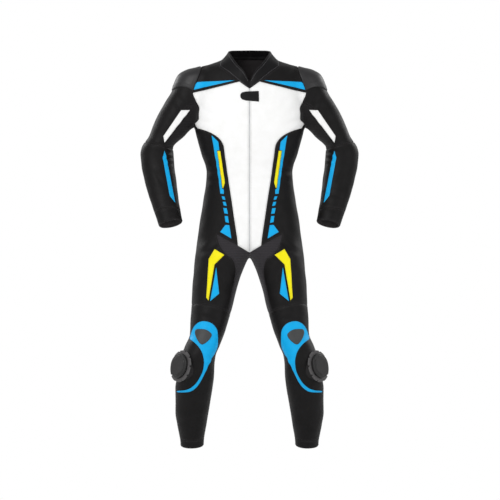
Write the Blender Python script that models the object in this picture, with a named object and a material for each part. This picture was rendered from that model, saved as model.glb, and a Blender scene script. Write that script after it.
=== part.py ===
"""Motorcycle race suit: one-piece leathers, filled out as worn, standing open at neck, cuffs and hems.

Metres, +Z up. The origin is at the base of the neck, level with the shoulder points, the front faces -Y,
and the wearer's left is at +X. Each cut piece is a wall of leather on one smooth form; neighbours stop a
seam's width apart, and what is sewn on top is made from the piece below it, moved out.
"""

import math

import bmesh
import bpy
import numpy as np
from mathutils import Matrix, Vector

MM = 0.001
WALL = 2.0 * MM  # leather with its backing
SEAM = 0.3 * MM  # gap between two neighbours
LAID = 1.2 * MM  # leather laid on a piece
CUP_WALL = 4.0 * MM
SHIELD_WALL = 3.0 * MM
ZIP_WIDTH = 5.4 * MM
ZIP_WALL = 1.5 * MM
ZIP_RECESS = 0.5 * MM
TAB_WALL = 2.2 * MM
COLLAR_WALL = 3.0 * MM
FLANGE_RADIUS = 59 * MM
FLANGE_WALL = 5.0 * MM
SLIDER_NOTCHES = 10
NOTCH_DEPTH = 6 * MM
PAD_RADIUS = 50 * MM  # of what carries the flat flange on the round knee
PAD_WALL = 2.5 * MM  # at its thinnest, in the middle
PAD_CORNERS = 32
PUCK_RADIUS = 46 * MM
PUCK_ROUND = 4 * MM
PUCK_HEIGHT = 22 * MM  # above the leather, at the middle
PUCK_FACE_RADIUS = 33 * MM
PUCK_FACE_HEIGHT = 2.5 * MM
PUCK_CORNERS = 28
INTO_KNEE = 45 * MM  # how deep the shape goes that trims the pad to the knee
SLIDER_TURN = 53.0  # degrees from straight ahead, towards the outside of the knee
SLIDER_TILT = 10.0  # degrees up, because the knee widens towards the shin
SLIDER_HEIGHT = -1133 * MM  # where its axis starts, in the middle of the leg

ARM_TOP = -31 * MM
ARM_BOTTOM = -640 * MM
ARM_BLEND = 22 * MM
LEG_BLEND = 12 * MM
CROTCH_TOP = -640 * MM
CROTCH_BOTTOM = -724 * MM
AWAY = 400 * MM  # clear of the suit, in front of it or behind it

UNSCALED = ("power", "tilt", "angle")


def table(names, *rows):
    """A table of the suit's sizes: rows in millimetres or degrees, columns by name."""
    columns = dict(zip(names.split(), np.array(rows, float).T))
    return {name: values if name in UNSCALED else values * MM for name, values in columns.items()}


# Level sections of the trunk: half its width, and how far it reaches forwards and back.
TRUNK = table(
    "z half front back power",
    (60, 66, 56, 62, 2.0),
    (30, 76, 60, 68, 2.0),
    (7, 88, 70, 78, 2.0),
    (-4, 112, 78, 86, 2.05),
    (-15, 145, 84, 94, 2.1),
    (-26, 172, 90, 102, 2.2),
    (-60, 192, 104, 114, 2.3),
    (-105, 197, 118, 120, 2.4),
    (-160, 199, 128, 122, 2.5),
    (-245, 200, 130, 116, 2.5),
    (-300, 188, 124, 108, 2.4),
    (-344, 176, 116, 102, 2.35),
    (-388, 161, 108, 98, 2.3),
    (-410, 157, 105, 97, 2.3),
    (-454, 160, 104, 100, 2.3),
    (-520, 170, 106, 112, 2.3),
    (-586, 181, 108, 124, 2.3),
    (-652, 190, 108, 130, 2.3),
    (-717, 199, 106, 124, 2.3),
    (-760, 203, 105, 115, 2.3),
)

# Level sections of an arm and a leg: the outer and inner edge, the middle from front to back, the depth.
ARM = table(
    "z outer inner middle depth power",
    (-29, 190, 170, 0, 30, 2.0),
    (-35, 220, 150, 2, 75, 2.0),
    (-41, 236, 140, 4, 92, 2.0),
    (-50, 252, 135, 5, 108, 2.0),
    (-59, 261, 132, 6, 118, 2.0),
    (-81, 272, 132, 8, 128, 2.05),
    (-113, 284, 138, 10, 134, 2.1),
    (-157, 311, 160, 12, 134, 2.1),
    (-201, 335, 185, 14, 130, 2.1),
    (-245, 355, 211, 16, 126, 2.1),
    (-278, 368, 238, 18, 122, 2.1),
    (-322, 395, 280, 20, 118, 2.1),
    (-344, 399, 278, 19, 116, 2.1),
    (-388, 395, 275, 12, 114, 2.1),
    (-432, 386, 269, 2, 110, 2.1),
    (-476, 375, 264, -12, 105, 2.1),
    (-520, 361, 258, -27, 99, 2.05),
    (-564, 346, 250, -43, 92, 2.0),
    (-608, 331, 242, -58, 86, 2.0),
    (-640, 320, 238, -68, 84, 2.0),
)
LEG = table(
    "z outer inner middle depth power",
    (-600, 184, -40, 12, 236, 2.3),
    (-652, 190, -30, 10, 236, 2.3),
    (-695, 196, -14, 6, 232, 2.3),
    (-717, 199, -2, 3, 226, 2.3),
    (-739, 201, 11, 0, 218, 2.3),
    (-783, 205, 29, -8, 204, 2.25),
    (-827, 209, 44, -16, 192, 2.2),
    (-893, 212, 60, -29, 178, 2.2),
    (-959, 216, 79, -43, 165, 2.2),
    (-1003, 218, 93, -54, 158, 2.2),
    (-1047, 236, 110, -66, 152, 2.2),
    (-1080, 248, 124, -74, 150, 2.2),
    (-1113, 254, 128, -76, 146, 2.2),
    (-1157, 264, 130, -66, 140, 2.2),
    (-1200, 271, 135, -52, 136, 2.15),
    (-1244, 271, 143, -38, 134, 2.1),
    (-1288, 271, 150, -24, 128, 2.1),
    (-1332, 265, 157, -10, 116, 2.05),
    (-1376, 256, 165, 2, 102, 2.0),
    (-1398, 253, 167, 8, 96, 2.0),
    (-1440, 252, 168, 18, 92, 2.0),
)

# Where the collar meets the suit, by the angle round the neck from the front, and the collar's top there.
NECK = table(
    "angle z top_x top_y top_z",
    (0, -105, 0, -106, -79),
    (18, -78, 20, -100, -40),
    (40, -42, 46, -80, -12),
    (65, -10, 66, -46, 16),
    (90, 3, 76, -2, 32),
    (130, 6, 62, 48, 35),
    (180, 6, 0, 68, 36),
)

NECK_START = 1.5  # degrees from the middle of the front to a front's corner
YOKE_ANGLES = np.linspace(18, 162, 9)  # round the neck, from the front yoke seam to the back one

# The armhole: its own line down the side of the chest, and how much further out it runs at the front.
ARMHOLE = table(
    "z x bulge",
    (0, 177, 0),
    (-29, 178, 0),
    (-70, 185, 6),
    (-118, 194, 13),
    (-150, 196, 0),
    (-180, 198, -13),
    (-215, 200, -12),
    (-245, 203, 0),
    (-260, 204, 0),
)
ARMHOLE_MIDDLE_Z = -139 * MM
ARMHOLE_FRONT = table("angle", (72,), (89,), (106,), (135,), (165,))  # down the front edge
BULGE_REACH = 60 * MM

# The seam from armpit to crotch, at the front and at the back, and the gusset's edge down the thigh.
FRONT_SEAM = table(
    "z x",
    (-248, 198),
    (-257, 167),
    (-269, 137),
    (-283, 116),
    (-299, 102),
    (-315, 95),
    (-344, 91),
    (-403, 83),
    (-450, 76),
    (-512, 66),
    (-588, 55),
    (-640, 47),
    (-679, 42),
)
BACK_SEAM = table(
    "z x",
    (-248, 198),
    (-257, 176),
    (-269, 154),
    (-283, 140),
    (-299, 131),
    (-315, 127),
    (-344, 122),
    (-400, 112),
    (-446, 104),
    (-512, 95),
    (-588, 80),
    (-640, 62),
    (-679, 42),
)
GUSSET_EDGE = table(
    "z x",
    (-638, 119),
    (-655, 118),
    (-681, 108),
    (-710, 87),
    (-731, 61),
    (-750, 53),
    (-775, 50),
    (-812, 55),
    (-862, 66),
    (-917, 77),
)
CROTCH_POINT = -703 * MM
HIP_RISE = 26 * MM  # of the hip line between the front horn and the back horn
HIP_COLUMNS = 12

# Rings across the arm and the leg: the two ends of each across the front, and how far its front tips up.
SLEEVE_RINGS = table(
    "outer_x outer_z inner_x inner_z tilt",
    (220, -33, 209, -247, 0),
    (253, -47, 214, -251, 0),
    (276, -84, 220, -257, 0),
    (291, -124, 229, -267, 0),
    (315, -168, 242, -282, 0),
    (338, -212, 256, -296, 0),
    (360, -260, 271, -311, 0),
    (382, -300, 280, -328, 2),
    (399, -337, 278, -355, 6),
    (397, -377, 276, -388, 10),
    (390, -421, 271, -425, 13),
    (375, -472, 264, -468, 16),
    (359, -523, 256, -512, 18),
    (347, -558, 251, -551, 19),
    (339, -584, 247, -571, 20),
    (331, -610, 245, -589, 20),
)
ELBOW_RING = 8
CUFF_RING = 14
SLEEVE_ANGLES = table(
    "angle armhole",
    (0, 0),
    (18, 18),
    (36, 36),
    (54, 54),
    (72, 72),
    (91, 89),
    (110, 106),
    (128, 135),
    (145, 165),
    (162, 172),
    (180, 180),
)
LENS_COLUMN = 6
LEG_RINGS = table(
    "outer_x outer_z inner_x inner_z tilt",
    (213, -902, 68, -935, 13),
    (216, -945, 76, -975, 12),
    (218, -990, 90, -1012, 10),
    (228, -1030, 104, -1042, 7),
    (240, -1062, 118, -1068, 3),
    (252, -1098, 126, -1100, -2),
    (262, -1140, 130, -1138, -6),
    (270, -1185, 134, -1182, -9),
    (271, -1232, 142, -1228, -12),
    (271, -1280, 149, -1276, -14),
    (266, -1332, 157, -1329, -15),
    (258, -1382, 164, -1380, -16),
    (253, -1410, 167, -1408, -17),
)
ANKLE_RING = 11
LEG_COLUMNS = 20
KNEE_GUSSET_ANGLE = 150.0  # where the gusset's edges meet the seam above the knee

# Outlines of what lies on top, as (x, z) seen from the front, in millimetres.
CHEST_WEDGE = ((54, -74), (189, -80), (220, -92), (220, -112), (206, -109))
SLEEVE_STRIPE = ((218, -183), (250, -183), (315, -278), (311, -302))
FOREARM_STRIPE = ((311, -331), (321, -355), (294, -503), (272, -522), (306, -354))
FLANK_STRIPE = (
    (138, -275),
    (131, -318),
    (119, -394),
    (106, -489),
    (94, -490),
    (94, -474),
    (100, -470),
    (119, -331),
    (110, -329),
    (114, -299),
)
FLANK_BAR = ((117.5, -332), (107, -332), (90, -449), (96, -468), (98.5, -468))
FLANK_ARROW = ((88, -603), (74, -604), (66, -653), (107, -629))
THIGH_BAR = ((127, -692), (92, -713), (128, -748), (150, -880), (158, -869), (149, -728))
THIGH_WEDGE = ((122, -758), (111, -855), (144, -882))
KNEE_SURROUND = (
    (213, -985),
    (171, -955),
    (143, -962),
    (130, -978),
    (121, -1001),
    (119, -1032),
    (121, -1050),
    (132, -1076),
    (153, -1116),
    (169, -1148),
    (181, -1174),
    (195, -1195),
    (216, -1211),
    (246, -1216),
    (268, -1214),
    (268, -1208),
    (246, -1204),
    (223, -1195),
    (199, -1174),
    (181, -1146),
    (173, -1125),
    (173, -1090),
    (178, -1067),
    (190, -1048),
    (204, -1037),
    (223, -1024),
    (218, -1008),
)
KNEE_SHIELD = (
    (199, -990),
    (188, -986),
    (162, -990),
    (145, -1005),
    (153, -1022),
    (176, -1040),
    (190, -1032),
    (201, -1013),
)
SHOULDER_CUP = (
    (160, -10),
    (160, -114),
    (200, -114),
    (206, -112),
    (213, -109),
    (220, -104),
    (228, -100.5),
    (238, -98),
    (249, -97),
    (258, -97.5),
    (266, -100),
    (274, -105),
    (282, -111),
    (300, -119),
    (300, -10),
)
TAB_LENGTH = 66 * MM
TAB_TOP = -113 * MM
TAB_BOTTOM = -152 * MM
TAB_ROUND = 6 * MM

COLOURS = {
    "black_leather": ("1f1d1e", 0.5),
    "white_leather": ("f4f4f2", 0.5),
    "blue_leather": ("10a8ea", 0.5),
    "yellow_leather": ("f7ea12", 0.5),
    "stretch_cloth": ("363438", 0.85),
    "moulded_cup": ("363636", 0.45),
    "moulded_shield": ("4a4e4f", 0.45),
    "slider_base": ("4a4849", 0.7),
    "slider_puck": ("2c2b2b", 0.4),
    "zip_tape": ("b9bbbd", 0.5),
}


# ---- The form that every piece lies on -------------------------------------------------------------


def smooth(keys, values, at):
    """A cubic through the values that never overshoots them. The keys rise."""
    gap = np.diff(keys)
    slope = np.diff(values) / gap
    same_way = slope[1:] * slope[:-1] > 0
    total = np.where(same_way, slope[1:] + slope[:-1], 1.0)
    inner = np.where(same_way, 2 * slope[1:] * slope[:-1] / total, 0.0)
    tangent = np.concatenate([slope[:1], inner, slope[-1:]])
    at = np.clip(at, keys[0], keys[-1])
    i = np.clip(np.searchsorted(keys, at, side="right") - 1, 0, len(gap) - 1)
    s = (at - keys[i]) / gap[i]
    start = (1 + 2 * s) * (1 - s) ** 2 * values[i] + s * (1 - s) ** 2 * gap[i] * tangent[i]
    end = s**2 * (3 - 2 * s) * values[i + 1] + s**2 * (s - 1) * gap[i] * tangent[i + 1]
    return start + end


def by_height(sizes, name, z):
    return smooth(-sizes["z"], sizes[name], -z)


def by_row(sizes, name, row):
    values = sizes[name]
    return smooth(np.arange(len(values), dtype=float), values, row)


def oval_gap(x, y, half_x, half_y, power):
    """How far a point is outside an oval round the origin, near enough, and negative inside."""
    size = (np.abs(x / half_x) ** power + np.abs(y / half_y) ** power) ** (1 / power)
    return (size - 1) * np.minimum(half_x, half_y)


def trunk_gap(x, y, z):
    front = by_height(TRUNK, "front", z)
    back = by_height(TRUNK, "back", z)
    half = by_height(TRUNK, "half", z)
    return oval_gap(x, y - (back - front) / 2, half, (front + back) / 2, by_height(TRUNK, "power", z))


def limb_gap(limb, x, y, z):
    outer = by_height(limb, "outer", z)
    inner = by_height(limb, "inner", z)
    middle = by_height(limb, "middle", z)
    half_depth = by_height(limb, "depth", z) / 2
    power = by_height(limb, "power", z)
    return oval_gap(x - (outer + inner) / 2, y - middle, (outer - inner) / 2, half_depth, power)


def blend(a, b, reach):
    """The smaller of two gaps, rounded where they meet."""
    near = np.maximum(reach - np.abs(a - b), 0) / reach
    return np.minimum(a, b) - near**2 * reach / 4


def form(points):
    """How far each point is outside the filled-out suit, near enough, and negative inside."""
    x = np.abs(points[..., 0])
    y = points[..., 1]
    z = points[..., 2]
    legs = blend(limb_gap(LEG, x, y, z), limb_gap(LEG, -x, y, z), LEG_BLEND)
    share = np.clip((CROTCH_TOP - z) / (CROTCH_TOP - CROTCH_BOTTOM), 0, 1)
    share = share**2 * (3 - 2 * share)
    body = trunk_gap(x, y, z) * (1 - share) + legs * share
    arm = np.maximum(limb_gap(ARM, x, y, z), np.maximum(z - ARM_TOP, ARM_BOTTOM - z))
    return blend(body, arm, ARM_BLEND)


def slope_of(points):
    """The direction in which the form's gap grows, and how fast."""
    step = 0.5 * MM
    rise = np.empty(points.shape)
    for axis in range(3):
        offset = np.zeros(3)
        offset[axis] = step
        rise[..., axis] = (form(points + offset) - form(points - offset)) / (2 * step)
    return rise


def normals_of(points):
    rise = slope_of(points)
    return rise / np.linalg.norm(rise, axis=-1, keepdims=True)


def onto_form(points):
    """Points near the form, moved onto it."""
    for _ in range(14):
        rise = slope_of(points)
        points = points - (form(points) / (rise**2).sum(-1))[..., None] * rise
    return points


def crossing(path, reach, steps=100):
    """The first point of each path that lies on the form. The path is a function of the distance along it."""
    along = np.linspace(0, reach, steps)
    inside = form(path(along)) < 0
    changed = inside != inside[..., :1]
    index = np.maximum(changed.argmax(-1), 1)
    low = along[index - 1]
    high = along[index]
    at_start = inside[..., 0]
    for _ in range(30):
        middle = (low + high) / 2
        same = (form(path(middle[..., None]))[..., 0] < 0) == at_start
        low = np.where(same, middle, low)
        high = np.where(same, high, middle)
    return path(low[..., None])[..., 0, :]


def cast(start, way, reach=AWAY):
    start = np.broadcast_arrays(start, way)[0][..., None, :]
    return crossing(lambda along: start + along[..., None] * way[..., None, :], reach)


def vector(x, y, z):
    return np.stack(np.broadcast_arrays(x, y, z), -1).astype(float)


def on_front(x, z):
    return cast(vector(x, -AWAY, z), vector(x * 0, 1, 0), 2 * AWAY)


def on_back(x, z):
    return cast(vector(x, AWAY, z), vector(x * 0, -1, 0), 2 * AWAY)


def between(a, b, share):
    """Points along straight lines from a to b."""
    return a + (b - a) * np.asarray(share, float)[:, None]


# ---- Seam lines -------------------------------------------------------------------------------------


def neck_edge(angle):
    """The suit's edge under the collar, by the angle in degrees round the neck from the front."""
    z = np.interp(angle, NECK["angle"], NECK["z"])
    middle = (by_height(TRUNK, "back", z) - by_height(TRUNK, "front", z)) / 2
    turn = np.radians(angle)
    return cast(vector(0, middle, z), vector(np.sin(turn), -np.cos(turn), 0))


def armhole(angle):
    """The armhole's edge, by the angle in degrees from the shoulder's top towards the front."""
    turn = np.radians(angle)[:, None]

    def path(along):
        y = -np.sin(turn) * along
        z = ARMHOLE_MIDDLE_Z + np.cos(turn) * along
        forward = np.clip(-y / BULGE_REACH, 0, 1)
        x = by_height(ARMHOLE, "x", z) + by_height(ARMHOLE, "bulge", z) * forward
        return vector(x, y, z)

    return crossing(path, 0.2)


def front_armhole(rows):
    return armhole(by_row(ARMHOLE_FRONT, "angle", rows))


def back_armhole(rows):
    return armhole(360 - by_row(ARMHOLE_FRONT, "angle", rows))


def across(start, end, shares, on_side):
    """A seam straight across, as seen from the front, from one point of the form to another."""
    line = between(start, end, shares)
    points = on_side(line[:, 0], line[:, 2])
    points[0] = start
    points[-1] = end
    return points


def side_seam(seam, rows, corner, on_side):
    """The seam down a side of the front or the back, from the armhole's corner."""
    points = on_side(by_row(seam, "x", rows), by_row(seam, "z", rows))
    points[0] = corner
    return points


def ring(rings, row, angle):
    """Points round a limb at a row of its table, by the angle in degrees from its outer edge to its front."""
    outer = vector(by_row(rings, "outer_x", row), 0, by_row(rings, "outer_z", row))
    inner = vector(by_row(rings, "inner_x", row), 0, by_row(rings, "inner_z", row))
    limb = ARM if rings is SLEEVE_RINGS else LEG
    middle = (outer + inner) / 2
    middle[..., 1] = by_height(limb, "middle", middle[..., 2])
    width = (outer - inner) / np.linalg.norm(outer - inner, axis=-1, keepdims=True)
    tilt = np.radians(by_row(rings, "tilt", row))
    ahead = vector(0 * tilt, -np.cos(tilt), np.sin(tilt))
    turn = np.radians(angle)[..., None]
    return cast(middle, np.cos(turn) * width + np.sin(turn) * ahead, 0.25)


def knee_line(angle):
    return ring(LEG_RINGS, 0 * angle, angle)


# ---- Patches ------------------------------------------------------------------------------------------


def round_axis(points, axis, facing):
    """Points as (angle from facing, distance, height) round an upright axis."""
    away = points - axis
    angle = np.arctan2(away[..., 1], away[..., 0]) - facing
    angle = (angle + math.pi) % (2 * math.pi) - math.pi
    return vector(angle, np.hypot(away[..., 0], away[..., 1]), away[..., 2])


def from_axis(coordinates, axis, facing):
    angle = coordinates[..., 0] + facing
    distance = coordinates[..., 1]
    return axis + vector(distance * np.cos(angle), distance * np.sin(angle), coordinates[..., 2])


def from_leg_axis(points):
    """Points moved level onto the leg, away from its axis, and never past the suit's middle."""
    start = leg_axis() + vector(0, 0, points[..., 2])
    way = (points - start) * (1, 1, 0)
    way /= np.linalg.norm(way, axis=-1, keepdims=True)
    found = cast(start, way)
    past = np.clip(found[..., 0] / np.minimum(way[..., 0], -0.01), 0, None)
    return found - way * past[..., None]


def patch(top, bottom, left, right, axis=None, facing=0.0, project=onto_form):
    """A grid of points on the form between four seam lines, straight across or round an upright axis."""
    edges = [top, bottom, left, right]
    if axis is not None:
        edges = [round_axis(edge, axis, facing) for edge in edges]
    upper, lower, start, end = edges
    u = np.linspace(0, 1, len(top))[None, :, None]
    v = np.linspace(0, 1, len(left))[:, None, None]
    rows = (1 - v) * upper[None] + v * lower[None]
    columns = (1 - u) * start[:, None] + u * end[:, None]
    top_corners = (1 - u) * upper[0] + u * upper[-1]
    bottom_corners = (1 - u) * lower[0] + u * lower[-1]
    grid = rows + columns - (1 - v) * top_corners - v * bottom_corners
    if axis is not None:
        grid = from_axis(grid, axis, facing)
    grid = project(grid)
    grid[0] = top
    grid[-1] = bottom
    grid[:, 0] = left
    grid[:, -1] = right
    return grid


def front_like(seam, armhole_edge, on_side, neck_angles, edge_x):
    """The two grids of a front, or of half a back: down to the armpit, and on to the crotch."""
    neck = neck_edge(np.array(neck_angles, float))
    neck[0] = on_side(np.array([edge_x]), neck[:1, 2])[0]
    edge = armhole_edge(np.arange(5.0))
    yoke_seam = across(neck[-1], edge[0], np.linspace(0, 1, 4), on_side)
    top = np.concatenate([neck, yoke_seam[1:]])
    rows = np.arange(len(seam["z"]), dtype=float)
    outer = side_seam(seam, rows, edge[-1], on_side)
    chest_line = across(
        on_side(np.array([edge_x]), edge[-1:, 2])[0], edge[-1], np.linspace(0, 1, len(top)), on_side
    )
    middle_z = np.linspace(top[0, 2], chest_line[0, 2], len(edge))
    upper = patch(top, chest_line, on_side(0 * middle_z + edge_x, middle_z), edge, None)
    upper[:, 0] = on_side(0 * middle_z + edge_x, middle_z)
    lower_z = chest_line[0, 2] + (outer[:, 2] - outer[0, 2]) * (
        (CROTCH_POINT - chest_line[0, 2]) / (outer[-1, 2] - outer[0, 2])
    )
    middle = on_side(0 * lower_z + edge_x, lower_z)
    middle[0] = chest_line[0]
    bottom = across(middle[-1], outer[-1], np.linspace(0, 1, len(top)), on_side)
    return upper, patch(chest_line, bottom, middle, outer)


def yoke_grid():
    neck = neck_edge(YOKE_ANGLES)
    edge = armhole(np.linspace(72, -72, len(YOKE_ANGLES)))
    front = across(neck[0], edge[0], np.linspace(0, 1, 4), on_front)
    back = across(neck[-1], edge[-1], np.linspace(0, 1, 4), on_back)
    return patch(front, back, neck, edge)


def hip_line():
    """The line from the front horn of the gusset round the hip to its back horn."""
    horn_x = GUSSET_EDGE["x"][:1]
    horn_z = GUSSET_EDGE["z"][:1]
    front = on_front(horn_x, horn_z)[0]
    back = on_back(horn_x, horn_z)[0]
    share = np.linspace(0, 1, HIP_COLUMNS + 1)
    start = math.atan2(front[1], front[0])
    turn = start + (math.atan2(back[1], back[0]) - start) * share
    z = horn_z + HIP_RISE * np.sin(math.pi * share)
    line = cast(vector(0, 0 * z, z), vector(np.cos(turn), np.sin(turn), 0))
    line[0] = front
    line[-1] = back
    return line


def side_grids():
    """The side: round the flank down to the hip, and round the outer thigh down to the knee seam."""
    rows = np.arange(len(FRONT_SEAM["z"]), dtype=float)
    top = armhole(np.linspace(165, 195, HIP_COLUMNS + 3))
    front = side_seam(FRONT_SEAM, rows, top[0], on_front)
    back = side_seam(BACK_SEAM, rows, top[-1], on_back)
    hip = hip_line()
    bottom = np.concatenate([front[-1:], hip, back[-1:]])
    flank = patch(top, bottom, front, back, np.zeros(3))
    edges = gusset_edges()
    knee = knee_line(np.linspace(KNEE_GUSSET_ANGLE, -KNEE_GUSSET_ANGLE, HIP_COLUMNS + 1))
    thigh = patch(hip, knee, edges[0], edges[1], leg_axis(), 0.0, from_leg_axis)
    return flank, thigh


def leg_axis():
    z = np.array(-800 * MM)
    middle = (by_height(LEG, "outer", z) + by_height(LEG, "inner", z)) / 2
    return np.array([middle, by_height(LEG, "middle", z), 0.0])


def gusset_edges():
    rows = np.arange(len(GUSSET_EDGE["z"]), dtype=float)
    x = by_row(GUSSET_EDGE, "x", rows)
    z = by_row(GUSSET_EDGE, "z", rows)
    front = on_front(x, z)
    back = on_back(x, z)
    front[-1] = knee_line(np.array([KNEE_GUSSET_ANGLE]))[0]
    back[-1] = knee_line(np.array([-KNEE_GUSSET_ANGLE]))[0]
    return front, back


def gusset_grid(front_foot, back_foot):
    """The gusset: from its front horn along the foot of the front, through the crotch to its back horn."""
    front, back = gusset_edges()
    middle = np.zeros(1)
    point = np.array([CROTCH_POINT])
    start = on_front(middle, point)[0]
    end = on_back(middle, point)[0]
    centre = np.array([0, 0, CROTCH_TOP])
    dip = [math.atan2(CROTCH_TOP - tip[2], abs(tip[1])) for tip in (start, end)]
    turn = np.linspace(dip[0], math.pi - dip[1], 5)
    under = cast(centre, vector(0, -np.cos(turn), -np.sin(turn)))
    under[0] = start
    under[-1] = end
    top = np.concatenate([front[:1], front_foot[::-1], under, back_foot[1:], back[:1]])
    knee = knee_line(np.linspace(KNEE_GUSSET_ANGLE, 360 - KNEE_GUSSET_ANGLE, len(top)))
    return patch(top, knee, front, back, leg_axis(), math.pi, from_leg_axis)


def sleeve_angles():
    half = SLEEVE_ANGLES
    angle = np.concatenate([half["angle"], 360 - half["angle"][-2:0:-1]])
    hole = half["armhole"] / MM
    return angle, np.concatenate([hole, 360 - hole[-2:0:-1]])


def sleeve_grid(first, last, start, end):
    """Rings of the sleeve between two rows, from one of its angles to another. Row 0 is the armhole."""
    angle, hole = sleeve_angles()
    columns = np.arange(start, end + 1) % len(angle)
    rows = []
    for row in range(first, last + 1):
        if row == 0:
            rows.append(armhole(hole[columns]))
        else:
            rows.append(ring(SLEEVE_RINGS, np.full(len(columns), row - 1.0), angle[columns]))
    return np.array(rows)


def leg_grid(first, last, start, end):
    angle = np.arange(start, end + 1) * 360 / LEG_COLUMNS
    return np.array([ring(LEG_RINGS, 0 * angle + row, angle) for row in range(first, last + 1)])


# ---- Walls ----------------------------------------------------------------------------------------------


def grid_triangles(grid, start=0):
    number = start + np.arange(grid.shape[0] * grid.shape[1]).reshape(grid.shape[:2])
    a, b, c, d = number[:-1, :-1], number[:-1, 1:], number[1:, 1:], number[1:, :-1]
    halves = [np.stack([a, b, d], -1), np.stack([b, c, d], -1)]
    return np.concatenate([half.reshape(-1, 3) for half in halves])


def weld(*grids):
    """Grids joined into one sheet: its points, and triangles that face out."""
    points = np.concatenate([grid.reshape(-1, 3) for grid in grids])
    starts = np.cumsum([0] + [grid.shape[0] * grid.shape[1] for grid in grids])
    triangles = np.concatenate([grid_triangles(grid, start) for grid, start in zip(grids, starts)])
    same = np.round(points / (0.01 * MM))
    _, keep, index = np.unique(same, axis=0, return_index=True, return_inverse=True)
    triangles = index.reshape(-1)[triangles]
    points = points[keep]
    whole = (triangles != np.roll(triangles, 1, axis=1)).all(axis=1)
    triangles = triangles[whole]
    corners = points[triangles]
    facing = np.cross(corners[:, 1] - corners[:, 0], corners[:, 2] - corners[:, 0])
    outwards = (facing * normals_of(corners.mean(axis=1))).sum() > 0
    return points, triangles if outwards else triangles[:, ::-1]


def rim_of(triangles):
    """The edges that only one triangle has, each in that triangle's direction."""
    edges = np.concatenate([triangles[:, [0, 1]], triangles[:, [1, 2]], triangles[:, [2, 0]]])
    both = {tuple(edge) for edge in edges.tolist()}
    return np.array([edge for edge in edges.tolist() if (edge[1], edge[0]) not in both])


def drawn_in(points, triangles, normals, amount):
    """The sheet's points, with those on its rim moved into it."""
    rim = rim_of(triangles)
    inwards = np.cross(normals[rim[:, 0]] + normals[rim[:, 1]], points[rim[:, 1]] - points[rim[:, 0]])
    inwards /= np.linalg.norm(inwards, axis=1, keepdims=True)
    total = np.zeros(points.shape)
    np.add.at(total, rim[:, 0], inwards)
    np.add.at(total, rim[:, 1], inwards)
    size = (total**2).sum(axis=1, keepdims=True)
    move = np.where(size > 0, total * 2 / np.maximum(size, 1.0), 0)
    return points + move * amount


def wall(sheet, low, high, gap=SEAM / 2):
    """A closed wall on a sheet, from low to high above it."""
    points, triangles = sheet
    normals = normals_of(points)
    points = drawn_in(points, triangles, normals, gap)
    upper = points + normals * high
    lower = points + normals * low
    return closed_sheets(upper, lower, triangles, sheet[0])


def closed_sheets(upper, lower, triangles, seam_points):
    """A closed wall between two sheets with the same triangles. Neighbours split their rims alike."""
    rim = rim_of(triangles)
    start, end = rim.T
    keys = np.round(np.abs(seam_points) / (0.01 * MM)).astype(int).tolist()
    start_first = np.array([keys[a] < keys[b] for a, b in rim])[:, None]
    count = len(upper)
    below = (start + count, end + count)
    one = np.where(start_first, np.stack([end, start, below[1]], 1), np.stack([end, start, below[0]], 1))
    two = np.where(start_first, np.stack([start, *below], 1), np.stack([end, *below], 1))
    faces = [triangles, triangles[:, ::-1] + count, one, two]
    return np.concatenate([upper, lower]), np.concatenate(faces)


def mirrored(points, faces):
    return points * (-1, 1, 1), faces[:, ::-1]


def linear(value):
    return value / 12.92 if value <= 0.04045 else ((value + 0.055) / 1.055) ** 2.4


def material(name):
    found = bpy.data.materials.get(name)
    if found:
        return found
    colour, roughness = COLOURS[name]
    made = bpy.data.materials.new(name)
    made.use_nodes = True
    shader = made.node_tree.nodes["Principled BSDF"]
    rgb = [linear(int(colour[i : i + 2], 16) / 255) for i in (0, 2, 4)]
    shader.inputs["Base Color"].default_value = (*rgb, 1)
    shader.inputs["Roughness"].default_value = roughness
    return made


def mesh_object(name, points, faces, collection):
    mesh = bpy.data.meshes.new(name)
    mesh.from_pydata(points.tolist(), [], faces.tolist())
    made = bpy.data.objects.new(name, mesh)
    collection.objects.link(made)
    return made


def piece(name, points, faces, finish, suit):
    made = mesh_object(name, points, faces, suit)
    made.data.materials.append(material(finish))
    return made


def pair(name, points, faces, finish, suit):
    """The wearer's left piece, at +X, and its mirror image."""
    piece("left_" + name, points, faces, finish, suit)
    piece("right_" + name, *mirrored(points, faces), finish, suit)


# ---- Pieces ---------------------------------------------------------------------------------------------


def make_fronts(grids, suit):
    pair("front", *wall(weld(*grids), -WALL, 0), "white_leather", suit)


def make_back(half, suit):
    other = [(grid * (-1, 1, 1))[:, ::-1] for grid in half]
    seat_up = [grid[::-1] for grid in (*half, *other)]
    piece("back", *wall(weld(*seat_up), -WALL, 0), "white_leather", suit)


def make_zip(grids, suit):
    """The closed zip, between the fronts' edges and a little below them."""
    edge = np.concatenate([grids[0][1:, 0], grids[1][1:, 0]])
    half = ZIP_WIDTH / 2
    left = on_front(0 * edge[:, 2] + half, edge[:, 2])
    strip = np.stack([left * (-1, 1, 1), left], axis=1)
    piece("zip", *wall(weld(strip), -ZIP_RECESS - ZIP_WALL, -ZIP_RECESS), "zip_tape", suit)


def make_tab(suit):
    """The neck tab, square at the wearer's left end and rounded at the other."""
    columns = 7
    x = np.linspace(-TAB_LENGTH / 2, TAB_LENGTH / 2, columns)
    narrower = np.array([TAB_ROUND] + [0.0] * (columns - 1))
    share = np.linspace(0, 1, 5)[:, None]
    z = (TAB_TOP - narrower) * (1 - share) + (TAB_BOTTOM + narrower) * share
    grid = on_front(np.broadcast_to(x, z.shape), z)
    piece("neck_tab", *wall(weld(grid), SEAM * 1.5, SEAM * 1.5 + TAB_WALL), "black_leather", suit)


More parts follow.
